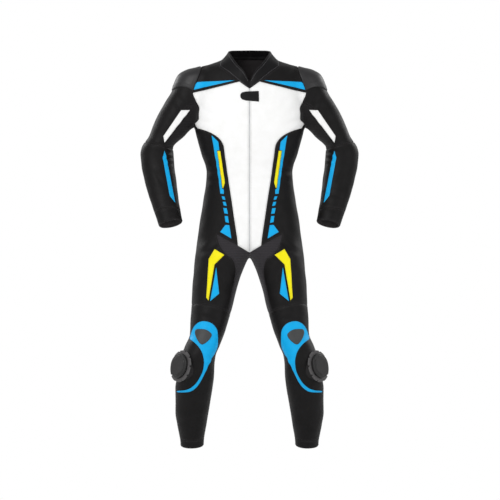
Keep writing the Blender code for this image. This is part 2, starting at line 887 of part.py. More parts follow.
def make_collar(suit):
    """The stand collar, its two ends meeting at the middle of the front."""
    angle = np.concatenate([[NECK_START], YOKE_ANGLES, [180.0]])
    foot = neck_edge(angle)
    top = vector(*(smooth(NECK["angle"], NECK[name], angle) for name in ("top_x", "top_y", "top_z")))
    foot = foot + (top - foot) * (SEAM / np.linalg.norm(top - foot, axis=1))[:, None]
    foot[0, 0] = top[0, 0] = SEAM
    rows = np.linspace(0, 1, 4)
    half = np.array([foot + (top - foot) * share for share in rows])
    grid = np.concatenate([half, half[:, -2::-1] * (-1, 1, 1)], axis=1)
    along = np.gradient(grid, axis=1)
    up = np.gradient(grid, axis=0)
    outwards = np.cross(along, up)
    outwards /= np.linalg.norm(outwards, axis=-1, keepdims=True)
    outer = grid.reshape(-1, 3)
    inner = outer - outwards.reshape(-1, 3) * COLLAR_WALL
    piece("collar", *closed_sheets(outer, inner, grid_triangles(grid), outer), "black_leather", suit)


def prism(outline, front, back):
    """An upright outline in the X-Z plane, drawn through from front to back."""
    count = len(outline)
    flat = np.array(outline, float) * MM
    ends = [vector(flat[:, 0], y, flat[:, 1]) for y in (front, back)]
    shape = bmesh.new()
    rings = [[shape.verts.new(point) for point in end] for end in ends]
    for i in range(count):
        j = (i + 1) % count
        shape.faces.new((rings[0][i], rings[0][j], rings[1][j], rings[1][i]))
    shape.faces.new(rings[0])
    shape.faces.new(rings[1][::-1])
    bmesh.ops.recalc_face_normals(shape, faces=shape.faces)
    return shape


def tool(name, shape, tools):
    """A cutter, kept out of the suit."""
    mesh = bpy.data.meshes.new(name)
    shape.to_mesh(mesh)
    shape.free()
    made = bpy.data.objects.new(name, mesh)
    made.hide_render = True
    made.display_type = "WIRE"
    tools.objects.link(made)
    return made


def boolean(target, cutter, operation):
    modifier = target.modifiers.new(operation.lower(), "BOOLEAN")
    modifier.operation = operation
    modifier.object = cutter


def laid_on(name, sheet, low, high, outline, back_y, finish, suit, tools):
    """A pair of pieces laid on a sheet: a wall above it, cut to an outline, in front of back_y."""
    for side, sign in (("left_", 1), ("right_", -1)):
        points, faces = wall(sheet, low, high)
        if sign < 0:
            points, faces = mirrored(points, faces)
        made = piece(side + name, points, faces, finish, suit)
        shape = prism([(x * sign, z) for x, z in outline], -AWAY, back_y)
        boolean(made, tool(side + name + "_outline", shape, tools), "INTERSECT")


def facing_way(centre, way):
    """The placement that turns +Z to a direction and moves the origin to a centre."""
    return Matrix.Translation(Vector(centre)) @ Vector(way).to_track_quat("Z", "Y").to_matrix().to_4x4()


def round_point(angle, radius, height):
    return Vector((radius * math.cos(angle), radius * math.sin(angle), height))


def spun(profile, corners, centre, way):
    """A solid spun round a direction, from its rows of (radius, height)."""
    shape = bmesh.new()
    place = facing_way(centre, way)
    rings = []
    for radius, height in profile:
        around = [2 * math.pi * i / corners for i in range(corners)]
        rings.append([shape.verts.new(place @ round_point(angle, radius, height)) for angle in around])
    for low, high in zip(rings, rings[1:]):
        for i in range(corners):
            j = (i + 1) % corners
            shape.faces.new((low[i], low[j], high[j], high[i]))
    shape.faces.new(rings[0][::-1])
    shape.faces.new(rings[-1])
    return shape


def notched_plate(centre, way, low, high):
    """A flat plate round a direction whose outline has the flange's notches."""
    shape = bmesh.new()
    place = facing_way(centre, way)
    step = 2 * math.pi / SLIDER_NOTCHES
    inner = FLANGE_RADIUS - NOTCH_DEPTH
    outer = FLANGE_RADIUS
    one = ((-0.10, outer), (-0.07, inner), (0.07, inner), (0.10, outer), (0.37, outer), (0.63, outer))
    outline = [((notch + share) * step, radius) for notch in range(SLIDER_NOTCHES) for share, radius in one]
    ends = []
    for height in (low, high):
        end = [place @ round_point(angle, radius, height) for angle, radius in outline]
        ends.append([shape.verts.new(point) for point in end])
    count = len(outline)
    for i in range(count):
        j = (i + 1) % count
        shape.faces.new((ends[0][i], ends[0][j], ends[1][j], ends[1][i]))
    shape.faces.new(ends[0][::-1])
    shape.faces.new(ends[1])
    return shape


def from_shape(name, shape, finish, suit):
    made = bpy.data.objects.new(name, bpy.data.meshes.new(name))
    shape.to_mesh(made.data)
    shape.free()
    made.data.materials.append(material(finish))
    suit.objects.link(made)
    return made


def make_slider(knee, suit, tools):
    """The slider: a flat notched flange on a pad that follows the knee, and a puck with a raised face."""
    turn = math.radians(SLIDER_TURN)
    z = np.array([SLIDER_HEIGHT])
    across_knee = (by_height(LEG, "outer", z) + by_height(LEG, "inner", z)) / 2
    middle = vector(across_knee, by_height(LEG, "middle", z), z)[0]
    tilt = math.radians(SLIDER_TILT)
    ahead = np.array([math.sin(turn) * math.cos(tilt), -math.cos(turn) * math.cos(tilt), math.sin(tilt)])
    leather = float(np.linalg.norm(cast(middle[None], ahead[None])[0] - middle))
    flange_low = leather + PAD_WALL
    flange_high = flange_low + FLANGE_WALL
    height = leather + PUCK_HEIGHT
    rim = height - PUCK_FACE_HEIGHT
    pad_profile = ((PAD_RADIUS, leather - INTO_KNEE + WALL * 2), (PAD_RADIUS, flange_low + FLANGE_WALL / 2))
    profile = (
        (PUCK_RADIUS, flange_high + SEAM),
        (PUCK_RADIUS, rim - PUCK_ROUND),
        (PUCK_RADIUS - PUCK_ROUND * 0.3, rim - PUCK_ROUND * 0.3),
        (PUCK_RADIUS - PUCK_ROUND, rim),
        (PUCK_FACE_RADIUS + PUCK_FACE_HEIGHT / 2, rim),
        (PUCK_FACE_RADIUS, height),
    )
    for side, sign in (("left_", 1), ("right_", -1)):
        way = ahead * (sign, 1, 1)
        centre = middle * (sign, 1, 1)
        base = from_shape(
            side + "slider_base", notched_plate(centre, way, flange_low, flange_high), "slider_base", suit
        )
        pad = spun(pad_profile, PAD_CORNERS, centre, way)
        boolean(base, tool(side + "pad", pad, tools), "UNION")
        points, faces = wall(knee, -INTO_KNEE, SEAM, 0.0)
        if sign < 0:
            points, faces = mirrored(points, faces)
        knee_tool = mesh_object(side + "knee_volume", points, faces, tools)
        knee_tool.hide_render = True
        knee_tool.display_type = "WIRE"
        boolean(base, knee_tool, "DIFFERENCE")
        from_shape(side + "slider_puck", spun(profile, PUCK_CORNERS, centre, way), "slider_puck", suit)


def main():
    for item in list(bpy.data.objects):
        bpy.data.objects.remove(item)
    suit = bpy.data.collections.new("race_suit")
    tools = bpy.data.collections.new("cutters")
    tools.hide_render = True
    bpy.context.scene.collection.children.link(suit)
    bpy.context.scene.collection.children.link(tools)

    beside_zip = ZIP_WIDTH / 2 + SEAM
    fronts = front_like(FRONT_SEAM, front_armhole, on_front, (NECK_START, YOKE_ANGLES[0]), beside_zip)
    back = front_like(BACK_SEAM, back_armhole, on_back, (180, YOKE_ANGLES[-1]), 0.0)
    gusset = gusset_grid(fronts[1][-1], back[1][-1])
    yoke = weld(yoke_grid())
    side = weld(*side_grids())
    make_fronts(fronts, suit)
    make_back(back, suit)
    make_zip(fronts, suit)
    make_tab(suit)
    make_collar(suit)
    pair("yoke", *wall(yoke, -WALL, 0), "black_leather", suit)
    pair("side", *wall(side, -WALL, 0), "black_leather", suit)
    pair("gusset", *wall(weld(gusset), -WALL, 0), "stretch_cloth", suit)

    columns = len(sleeve_angles()[0])
    half = columns // 2
    upper = weld(sleeve_grid(0, ELBOW_RING, -LENS_COLUMN, LENS_COLUMN))
    pair("upper_sleeve", *wall(upper, -WALL, 0), "black_leather", suit)
    lens = weld(sleeve_grid(0, ELBOW_RING, LENS_COLUMN, columns - LENS_COLUMN))
    pair("sleeve_lens", *wall(lens, -WALL, 0), "stretch_cloth", suit)
    forearm = weld(sleeve_grid(ELBOW_RING, CUFF_RING, 0, half))
    pair("forearm_front", *wall(forearm, -WALL, 0), "black_leather", suit)
    forearm_back = weld(sleeve_grid(ELBOW_RING, CUFF_RING, half, columns))
    pair("forearm_back", *wall(forearm_back, -WALL, 0), "black_leather", suit)
    cuff = weld(sleeve_grid(CUFF_RING, len(SLEEVE_RINGS["tilt"]), 0, columns))
    pair("cuff", *wall(cuff, -WALL, 0), "black_leather", suit)

    shin = leg_grid(0, ANKLE_RING, 0, LEG_COLUMNS // 2)
    calf = leg_grid(0, ANKLE_RING, LEG_COLUMNS // 2, LEG_COLUMNS)
    band = leg_grid(ANKLE_RING, len(LEG_RINGS["tilt"]) - 1, 0, LEG_COLUMNS)
    pair("shin", *wall(weld(shin), -WALL, 0), "black_leather", suit)
    pair("calf", *wall(weld(calf), -WALL, 0), "black_leather", suit)
    pair("ankle_band", *wall(weld(band), -WALL, 0), "black_leather", suit)

    knee = weld(shin)
    raised = SEAM * 2 + LAID
    overlays = (
        ("shoulder_cup", upper, SEAM, CUP_WALL, SHOULDER_CUP, AWAY, "moulded_cup"),
        ("chest_wedge", yoke, SEAM, LAID, CHEST_WEDGE, 0, "blue_leather"),
        ("sleeve_stripe", upper, SEAM, LAID, SLEEVE_STRIPE, 0, "white_leather"),
        ("forearm_stripe", forearm, SEAM, LAID, FOREARM_STRIPE, AWAY, "blue_leather"),
        ("flank_stripe", side, SEAM, LAID, FLANK_STRIPE, 0, "blue_leather"),
        ("flank_bar", side, SEAM, LAID, FLANK_BAR, 0, "yellow_leather"),
        ("flank_arrow", side, SEAM, LAID, FLANK_ARROW, 0, "blue_leather"),
        ("thigh_bar", side, SEAM, LAID, THIGH_BAR, -20 * MM, "yellow_leather"),
        ("thigh_wedge", side, SEAM, LAID, THIGH_WEDGE, -20 * MM, "blue_leather"),
        ("knee_surround", knee, SEAM, LAID, KNEE_SURROUND, -50 * MM, "blue_leather"),
        ("knee_shield", knee, raised, SHIELD_WALL, KNEE_SHIELD, -50 * MM, "moulded_shield"),
    )
    for name, sheet, low, thickness, outline, back_y, finish in overlays:
        laid_on(name, sheet, low, low + thickness, outline, back_y, finish, suit, tools)
    make_slider(weld(shin, calf), suit, tools)


main()
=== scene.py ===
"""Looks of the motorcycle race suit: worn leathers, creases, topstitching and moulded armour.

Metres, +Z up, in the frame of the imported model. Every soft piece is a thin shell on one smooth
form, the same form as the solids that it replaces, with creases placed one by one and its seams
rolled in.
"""

import math

import bpy
import numpy as np
from mathutils import Matrix, Vector, geometry, kdtree


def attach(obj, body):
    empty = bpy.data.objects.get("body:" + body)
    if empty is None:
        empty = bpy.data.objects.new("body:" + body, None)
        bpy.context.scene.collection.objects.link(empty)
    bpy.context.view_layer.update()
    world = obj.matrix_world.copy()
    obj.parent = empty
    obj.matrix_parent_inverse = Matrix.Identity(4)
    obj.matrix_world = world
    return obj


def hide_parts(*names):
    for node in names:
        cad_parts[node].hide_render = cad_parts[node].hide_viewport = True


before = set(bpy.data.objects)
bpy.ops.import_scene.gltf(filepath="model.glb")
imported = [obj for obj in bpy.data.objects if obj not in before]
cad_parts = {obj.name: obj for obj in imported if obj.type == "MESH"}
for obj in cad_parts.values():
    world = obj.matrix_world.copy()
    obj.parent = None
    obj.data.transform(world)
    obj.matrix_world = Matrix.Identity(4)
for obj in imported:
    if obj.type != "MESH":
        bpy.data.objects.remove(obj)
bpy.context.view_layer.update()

MM = 0.001
WALL = 2.0 * MM  # leather with its backing
SEAM = 0.3 * MM  # gap below what is laid on
SEWN_GAP = 0.04 * MM  # gap between two neighbours
LAID = 1.2 * MM  # leather laid on a piece
ROLL_DEPTH = 1.7 * MM  # how far a seam draws the leather in
ROLL_WIDTH = 2.6 * MM
CUP_WALL = 4.0 * MM
SHIELD_WALL = 3.0 * MM
ZIP_WIDTH = 5.4 * MM
ZIP_RECESS = 0.5 * MM
TAB_WALL = 2.2 * MM
COLLAR_WALL = 3.0 * MM
FLANGE_RADIUS = 59 * MM
FLANGE_WALL = 5.0 * MM
PAD_RADIUS = 50 * MM
PAD_WALL = 2.5 * MM  # at its thinnest, in the middle
SLIDER_NOTCHES = 10
NOTCH_DEPTH = 6 * MM
PUCK_RADIUS = 46 * MM
PUCK_HEIGHT = 22 * MM  # above the leather, at the middle
PUCK_FACE_RADIUS = 33 * MM
PUCK_FACE_HEIGHT = 2.5 * MM
SLIDER_TURN = 53.0  # degrees from straight ahead, towards the outside of the knee
SLIDER_TILT = 10.0  # degrees up, because the knee widens towards the shin
SLIDER_HEIGHT = -1133 * MM  # where its axis starts, in the middle of the leg

STITCH_IN = 3.4 * MM  # from a panel's edge to its stitches
STITCH_IN_LAID = 2.4 * MM
STITCH_PITCH = 6.0 * MM  # coarser than the real 4 mm, so that it shows
STITCH_LENGTH = 4.4 * MM
STITCH_THICK = 1.1 * MM
STITCH_ABOVE = 0.25 * MM  # from the leather to the middle of a stitch
# Share of its inset that a line of stitches keeps from the edge, round a sharp corner.
STITCH_CORNER = 0.88
TOOTH_PITCH = 3.0 * MM
TOOTH_OUT = 0.75 * MM  # from the zip's middle to that of a tooth
TOOTH_SIZE = (1.9 * MM, 2.3 * MM, 1.3 * MM)

EDGE_REACH = 40 * MM  # nothing depends on an edge that is further away than this
WEAR_AND_PAINTED_LIGHT_WIDTH = 6 * MM  # how far from a seam the worn tone reaches: rubbed wear and painted shade and sheen
# How far from the edge of laid-on leather the same worn tone reaches, rubbed wear and painted shade
# and sheen.
WEAR_AND_PAINTED_LIGHT_WIDTH_LAID = 3 * MM
BEVEL = 0.15 * MM  # how far the upper edge of what is laid on top is taken in
LAID_EDGE = 0.9 * MM  # radius of the edge of leather that is laid on
SHIELD_EDGE = 3.5 * MM
TAB_EDGE = 1.2 * MM
LAID_RING = 2.4 * MM  # from the rounded edge to the next line of points
DASH_WALL = 0.8 * MM
DASH_STITCH_IN = 2.0 * MM
CUP_EDGE = 7 * MM
CUP_BEVEL = 0.2 * MM
CUP_RIB = 0.9 * MM  # height of the rib that follows a cup's edge
CUP_RIB_INSET = 15 * MM
CUP_RIB_WIDTH = 2.6 * MM
FLANGE_EDGE = 1.6 * MM
PUCK_EDGE = 4 * MM
FILL_SPACING = 4 * MM  # between the points that fill an outline
MARK_SPACING = 1.2 * MM  # between the marks that a distance to an edge is measured to
WELD_WITHIN = 0.02 * MM
SHARP_ANGLE = 52.0  # degrees, from which an edge is shaded sharp
SLACK = 0.45 * MM  # how uneven the leather is between its creases
TAPE_WALL = 1.0 * MM
TAPE_DROP = 0.3 * MM  # of the zip's tape below its teeth
TINY = 1e-12  # keeps a division from being by nothing
ROLL_BELOW = 0.7  # how much of a seam's roll shows in what is laid over it
SLIDER_POINTS = 96  # round each ring of a slider

ARM_TOP = -31 * MM
ARM_BOTTOM = -640 * MM
ARM_BLEND = 22 * MM
LEG_BLEND = 12 * MM
CROTCH_TOP = -640 * MM
CROTCH_BOTTOM = -724 * MM
FLOOR_Z = -1460.5 * MM
FLOOR_HALF = 6.0
CAMERA_SPAN = 1.83  # width and height that the camera sees
CAMERA_PLACE = (1.8 * MM, -4.0, -0.695)
LEG_AXIS_Z = -800 * MM  # where the upright axis through the thigh is read off
AHEAD = 190 * MM  # clear of the suit, in front of it or behind it
OUT_OF_TRUNK = 300 * MM  # further than from any axis to the leather

UNSCALED = ("power", "tilt", "angle", "facing", "left", "right")
SIDES = (("left_", 1), ("right_", -1))
WHOLE = (("", 1),)  # for a piece that isn't made twice


def table(names, *rows):
    """A table of the suit's sizes: rows in millimetres or degrees, columns by name."""
    columns = dict(zip(names.split(), np.array(rows, float).T))
    return {name: values if name in UNSCALED else values * MM for name, values in columns.items()}


# Level sections of the trunk: half its width, and how far it reaches forwards and back.
TRUNK = table(
    "z half front back power",
    (60, 66, 56, 62, 2.0),
    (30, 76, 60, 68, 2.0),
    (7, 88, 70, 78, 2.0),
    (-4, 112, 78, 86, 2.05),
    (-15, 145, 84, 94, 2.1),
    (-26, 172, 90, 102, 2.2),
    (-60, 192, 104, 114, 2.3),
    (-105, 197, 118, 120, 2.4),
    (-160, 199, 128, 122, 2.5),
    (-245, 200, 130, 116, 2.5),
    (-300, 188, 124, 108, 2.4),
    (-344, 176, 116, 102, 2.35),
    (-388, 161, 108, 98, 2.3),
    (-410, 157, 105, 97, 2.3),
    (-454, 160, 104, 100, 2.3),
    (-520, 170, 106, 112, 2.3),
    (-586, 181, 108, 124, 2.3),
    (-652, 190, 108, 130, 2.3),
    (-717, 199, 106, 124, 2.3),
    (-760, 203, 105, 115, 2.3),
)

# Level sections of an arm and a leg: the outer and inner edge, the middle and the depth.
ARM = table(
    "z outer inner middle depth power",
    (-29, 190, 170, 0, 30, 2.0),
    (-35, 220, 150, 2, 75, 2.0),
    (-41, 236, 140, 4, 92, 2.0),
    (-50, 252, 135, 5, 108, 2.0),
    (-59, 261, 132, 6, 118, 2.0),
    (-81, 272, 132, 8, 128, 2.05),
    (-113, 284, 138, 10, 134, 2.1),
    (-157, 311, 160, 12, 134, 2.1),
    (-201, 335, 185, 14, 130, 2.1),
    (-245, 355, 211, 16, 126, 2.1),
    (-278, 368, 238, 18, 122, 2.1),
    (-322, 395, 280, 20, 118, 2.1),
    (-344, 399, 278, 19, 116, 2.1),
    (-388, 395, 275, 12, 114, 2.1),
    (-432, 386, 269, 2, 110, 2.1),
    (-476, 375, 264, -12, 105, 2.1),
    (-520, 361, 258, -27, 99, 2.05),
    (-564, 346, 250, -43, 92, 2.0),
    (-608, 331, 242, -58, 86, 2.0),
    (-640, 320, 238, -68, 84, 2.0),
)
LEG = table(
    "z outer inner middle depth power",
    (-600, 184, -40, 12, 236, 2.3),
    (-652, 190, -30, 10, 236, 2.3),
    (-695, 196, -14, 6, 232, 2.3),
    (-717, 199, -2, 3, 226, 2.3),
    (-739, 201, 11, 0, 218, 2.3),
    (-783, 205, 29, -8, 204, 2.25),
    (-827, 209, 44, -16, 192, 2.2),
    (-893, 212, 60, -29, 178, 2.2),
    (-959, 216, 79, -43, 165, 2.2),
    (-1003, 218, 93, -54, 158, 2.2),
    (-1047, 236, 110, -66, 152, 2.2),
    (-1080, 248, 124, -74, 150, 2.2),
    (-1113, 254, 128, -76, 146, 2.2),
    (-1157, 264, 130, -66, 140, 2.2),
    (-1200, 271, 135, -52, 136, 2.15),
    (-1244, 271, 143, -38, 134, 2.1),
    (-1288, 271, 150, -24, 128, 2.1),
    (-1332, 265, 157, -10, 116, 2.05),
    (-1376, 256, 165, 2, 102, 2.0),
    (-1398, 253, 167, 8, 96, 2.0),
    (-1440, 252, 168, 18, 92, 2.0),
)

# Where the collar meets the suit, by the angle round the neck from the front, and its top there.
NECK = table(
    "angle z top_x top_y top_z",
    (0, -105, 0, -106, -79),
    (18, -78, 20, -100, -40),
    (40, -42, 46, -80, -12),
    (65, -10, 66, -46, 16),
    (90, 3, 76, -2, 32),
    (130, 6, 62, 48, 35),
    (180, 6, 0, 68, 36),
)

NECK_START = 1.5  # degrees from the middle of the front to a front's corner
YOKE_FRONT = 18.0  # degrees round the neck from the front, to the yoke's seams
YOKE_BACK = 162.0

# The armhole's line down the side of the chest, and how much further out it runs at the front.
ARMHOLE = table(
    "z x bulge",
    (0, 177, 0),
    (-29, 178, 0),
    (-70, 185, 6),
    (-118, 194, 13),
    (-150, 196, 0),
    (-180, 198, -13),
    (-215, 200, -12),
    (-245, 203, 0),
    (-260, 204, 0),
)
ARMHOLE_MIDDLE_Z = -139 * MM
ARMHOLE_FRONT = table("angle", (72,), (89,), (106,), (135,), (165,))  # down the front edge
ARMHOLE_REACH = 200 * MM  # further than from its middle to its edge
BULGE_REACH = 60 * MM
YOKE_ARMHOLE = 72.0  # degrees round the armhole from its top to the yoke's seams
ARMPIT_FRONT = 165.0  # and on to the side's seams
ARMPIT_BACK = 195.0

# The seams from armpit to crotch, front and back, and the gusset's edge down the thigh.
FRONT_SEAM = table(
    "z x",
    (-248, 198), (-257, 167), (-269, 137), (-283, 116), (-299, 102), (-315, 95), (-344, 91),
    (-403, 83), (-450, 76), (-512, 66), (-588, 55), (-640, 47), (-679, 42),
)
BACK_SEAM = table(
    "z x",
    (-248, 198), (-257, 176), (-269, 154), (-283, 140), (-299, 131), (-315, 127), (-344, 122),
    (-400, 112), (-446, 104), (-512, 95), (-588, 80), (-640, 62), (-679, 42),
)
GUSSET_EDGE = table(
    "z x",
    (-638, 119), (-655, 118), (-681, 108), (-710, 87), (-731, 61), (-750, 53), (-775, 50),
    (-812, 55), (-862, 66), (-917, 77),
)
CROTCH_POINT = -703 * MM
HIP_RISE = 26 * MM  # of the hip line between the front horn and the back horn

# Rings across the arm and the leg: the two ends of each, and how far its front tips up.
SLEEVE_RINGS = table(
    "outer_x outer_z inner_x inner_z tilt",
    (220, -33, 209, -247, 0),
    (253, -47, 214, -251, 0),
    (276, -84, 220, -257, 0),
    (291, -124, 229, -267, 0),
    (315, -168, 242, -282, 0),
    (338, -212, 256, -296, 0),
    (360, -260, 271, -311, 0),
    (382, -300, 280, -328, 2),
    (399, -337, 278, -355, 6),
    (397, -377, 276, -388, 10),
    (390, -421, 271, -425, 13),
    (375, -472, 264, -468, 16),
    (359, -523, 256, -512, 18),
    (347, -558, 251, -551, 19),
    (339, -584, 247, -571, 20),
    (331, -610, 245, -589, 20),
)
ELBOW_RING = 8
CUFF_RING = 14
SLEEVE_ANGLES = table(
    "angle armhole",
    (0, 0), (18, 18), (36, 36), (54, 54), (72, 72), (91, 89), (110, 106), (128, 135), (145, 165),
    (162, 172), (180, 180),
)
SLEEVE_COLUMNS = 20  # once round, from the top over the front
LENS_COLUMN = 6  # where the stretch panel starts, and it ends as far behind the top
LEG_RINGS = table(
    "outer_x outer_z inner_x inner_z tilt",
    (213, -902, 68, -935, 13),
    (216, -945, 76, -975, 12),
    (218, -990, 90, -1012, 10),
    (228, -1030, 104, -1042, 7),
    (240, -1062, 118, -1068, 3),
    (252, -1098, 126, -1100, -2),
    (262, -1140, 130, -1138, -6),
    (270, -1185, 134, -1182, -9),
    (271, -1232, 142, -1228, -12),
    (271, -1280, 149, -1276, -14),
    (266, -1332, 157, -1329, -15),
    (258, -1382, 164, -1380, -16),
    (253, -1410, 167, -1408, -17),
)
ANKLE_RING = 11
KNEE_GUSSET_ANGLE = 150.0  # where the gusset's edges meet the seam above the knee

# Outlines of what lies on top, as (x, z) seen from the front, in millimetres.
CHEST_WEDGE = ((54, -74), (189, -80), (220, -92), (220, -112), (206, -109))
SLEEVE_STRIPE = ((218, -183), (250, -183), (315, -278), (311, -302))
FOREARM_STRIPE = ((310, -331), (318, -356), (292, -497), (272, -522), (304, -357))
FLANK_STRIPE = (
    (138, -275), (131, -318), (119, -394), (106, -489), (94, -490), (94, -474), (100, -470),
    (119, -331), (110, -329), (114, -299),
)
FLANK_BAR = ((117.5, -332), (107, -332), (90, -449), (96, -468), (98.5, -468))
FLANK_ARROW = ((88, -603), (74, -604), (66, -653), (107, -629))
THIGH_BAR = ((127, -692), (92, -713), (128, -748), (150, -880), (158, -869), (149, -728))
THIGH_WEDGE = ((122, -758), (111, -855), (144, -882))
KNEE_SURROUND = (
    (208, -985), (198, -969), (183, -958), (166, -955), (143, -960), (128, -971), (119, -986),
    (116, -1003), (116, -1040), (120, -1058), (135, -1087), (156, -1129), (171, -1161),
    (183, -1184), (198, -1202), (217, -1214.5), (242, -1216.5), (266, -1216), (266, -1210.5),
    (242, -1209.5), (220, -1204), (197, -1186), (179, -1158), (169, -1133), (166, -1108),
    (169, -1083), (177, -1062), (191, -1043), (207, -1029), (220, -1021), (214, -1003),
)
KNEE_SHIELD = (
    (196, -985), (183, -984), (157, -986), (139, -1001), (138.5, -1010), (149, -1026), (169, -1042),
    (180, -1040), (192, -1022), (199.5, -1000),
)
SHOULDER_CUP = (
    (160, -10), (160, -114), (200, -114), (206, -112), (213, -109), (220, -104), (228, -100.5),
    (238, -98), (249, -97), (258, -97.5), (266, -100), (274, -105), (282, -111), (300, -119),
    (300, -10),
)
TAB_OUTLINE = (
    (34, -113), (35, -152), (-14, -148), (-27, -144), (-33, -137), (-34, -130), (-33, -124),
    (-27, -118), (-14, -115),
)
# The four short bars between the flank stripe and the arrow.
FLANK_DASHES = (
    ((102, -498), (92, -499), (88, -512), (98, -510)),
    ((98, -518), (87, -519), (83, -534), (94, -532)),
    ((96, -541), (83, -542), (79, -563), (92, -561)),
    ((91, -570), (79, -571), (75, -596), (88, -593)),
)

# Creases: each is a soft trough between two low ridges. Its middle as seen from the front, the way
# it runs, half its length, its width and depth, how it bends, the side that it lies on (-1 front,
# 1 back, 0 round the edge), and its share of that depth on the wearer's left and right.
CREASES = table(
    "x z angle length width depth bend facing left right",
    # inside of the elbow, fanning out from the bend
    (286, -322, 24, 44, 7, 3.0, 2, -1, 1.0, 0.8),
    (284, -339, 8, 52, 8, 3.6, -1, -1, 0.9, 1.0),
    (284, -358, -8, 46, 7, 3.2, -2, -1, 1.0, 0.9),
    (284, -380, -20, 34, 6, 2.0, -3, -1, 0.7, 1.0),
    (290, -330, 16, 52, 7, 3.0, 2, 1, 0.8, 1.0),
    (292, -350, -6, 60, 8, 3.4, 0, 1, 1.0, 0.8),
    (352, -306, 34, 30, 7, 1.6, 0, -1, 0.6, 1.0),
    (356, -368, -30, 34, 7, 1.8, 0, 1, 1.0, 0.7),
    # upper arm, slack towards the armpit
    (236, -168, 52, 60, 9, 2.2, 2, -1, 1.0, 0.8),
    (248, -206, 48, 66, 10, 2.6, -2, -1, 0.8, 1.0),
    (262, -246, 38, 54, 8, 2.2, 3, -1, 1.0, 0.7),
    (240, -190, 50, 70, 10, 2.6, 1, 1, 0.9, 1.0),
    (264, -238, 42, 58, 9, 2.2, -2, 1, 1.0, 0.8),
    # forearm
    (330, -432, 58, 42, 8, 1.6, 2, -1, 0.8, 1.0),
    (312, -492, -18, 44, 8, 1.8, 3, -1, 1.0, 0.6),
    (318, -470, 14, 46, 9, 1.8, -2, 1, 0.7, 1.0),
    (300, -548, -12, 36, 7, 1.4, 2, -1, 0.7, 1.0),
    # armpit and chest
    (158, -226, 24, 64, 11, 2.8, 2, -1, 1.0, 0.8),
    (150, -256, 12, 58, 10, 2.2, -1, -1, 0.8, 1.0),
    (148, -196, 40, 58, 12, 2.0, 3, -1, 0.7, 0.9),
    (132, -152, 60, 60, 14, 1.6, 2, -1, 1.0, 0.7),
    (150, -216, 26, 70, 12, 3.0, -2, 1, 0.9, 1.0),
    (140, -176, 46, 72, 13, 2.4, 2, 1, 1.0, 0.8),
    (120, -130, 64, 60, 14, 1.8, -2, 1, 0.8, 1.0),
    (64, -128, 74, 46, 13, 1.2, 1, -1, 0.8, 1.0),
    # waist
    (118, -372, 10, 58, 11, 1.6, 1, -1, 0.8, 1.0),
    (128, -404, -4, 66, 12, 1.9, -1, -1, 1.0, 0.8),
    (122, -436, -14, 56, 11, 1.7, 1, -1, 0.9, 1.0),
    (58, -392, 8, 46, 14, 1.3, 1, -1, 1.0, 0.6),
    (50, -432, -10, 52, 14, 1.4, -1, -1, 0.7, 1.0),
    (110, -380, 12, 76, 12, 2.8, 1, 1, 1.0, 0.9),
    (104, -412, -4, 84, 13, 3.4, -1, 1, 0.8, 1.0),
    (108, -446, -16, 72, 12, 2.8, 1, 1, 1.0, 0.8),
    (34, -424, 6, 56, 14, 2.0, 0, 1, 0.9, 0.7),
    # hip and groin
    (116, -664, -34, 62, 9, 2.4, 1, -1, 1.0, 0.8),
    (98, -690, -40, 56, 8, 2.6, -1, -1, 0.8, 1.0),
    (84, -716, -46, 46, 8, 2.2, 1, -1, 1.0, 0.9),
    (150, -694, -22, 50, 10, 1.8, 1, -1, 0.7, 1.0),
    (36, -644, -56, 46, 10, 1.4, -1, -1, 1.0, 0.8),
    (110, -700, -30, 76, 11, 3.2, 2, 1, 1.0, 0.9),
    (96, -736, -24, 66, 10, 2.8, 1, 1, 0.8, 1.0),
    (120, -664, -36, 60, 11, 2.2, 2, 1, 0.8, 1.0),
    # thigh
    (92, -790, 62, 60, 10, 1.8, 2, -1, 0.9, 1.0),
    (172, -800, 78, 70, 13, 1.4, -1, -1, 1.0, 0.7),
    (128, -850, 70, 60, 12, 1.8, 2, 1, 0.8, 1.0),
    # behind the knee, and slack above and below it
    (182, -1058, 12, 66, 8, 3.2, 1, 1, 1.0, 0.8),
    (184, -1084, 2, 74, 9, 4.0, -1, 1, 0.9, 1.0),
    (188, -1110, -8, 70, 8, 3.4, 1, 1, 1.0, 0.9),
    (190, -1140, -18, 56, 8, 2.4, 1, 1, 0.8, 1.0),
    (150, -944, 16, 56, 9, 2.0, 2, -1, 1.0, 0.8),
    (120, -972, 24, 40, 8, 1.8, 2, -1, 0.8, 1.0),
    (142, -1090, 20, 36, 8, 2.2, 1, -1, 1.0, 0.8),
    (146, -1120, 4, 34, 8, 2.0, 1, -1, 0.8, 1.0),
    # calf and ankle
    (190, -1256, 24, 50, 10, 1.6, 2, -1, 1.0, 0.8),
    (214, -1318, -14, 52, 9, 2.0, -2, -1, 0.8, 1.0),
    (206, -1352, 10, 44, 8, 2.2, 1, -1, 1.0, 0.9),
    (212, -1290, 16, 54, 10, 1.8, 2, 1, 0.9, 1.0),
    (208, -1344, -8, 46, 8, 2.2, 1, 1, 1.0, 0.8),
)

# ---- The form that every piece lies on ----


def smooth(keys, values, at):
    """A cubic through the values that never overshoots them. The keys rise."""
    gap = np.diff(keys)
    slope = np.diff(values) / gap
    same_way = slope[1:] * slope[:-1] > 0
    total = np.where(same_way, slope[1:] + slope[:-1], 1.0)
    inner = np.where(same_way, 2 * slope[1:] * slope[:-1] / total, 0.0)
    tangent = np.concatenate([slope[:1], inner, slope[-1:]])
    at = np.clip(at, keys[0], keys[-1])
    i = np.clip(np.searchsorted(keys, at, side="right") - 1, 0, len(gap) - 1)
    s = (at - keys[i]) / gap[i]
    start = (1 + 2 * s) * (1 - s) ** 2 * values[i] + s * (1 - s) ** 2 * gap[i] * tangent[i]
    end = s**2 * (3 - 2 * s) * values[i + 1] + s**2 * (s - 1) * gap[i] * tangent[i + 1]
    return start + end


fine_lists = {}


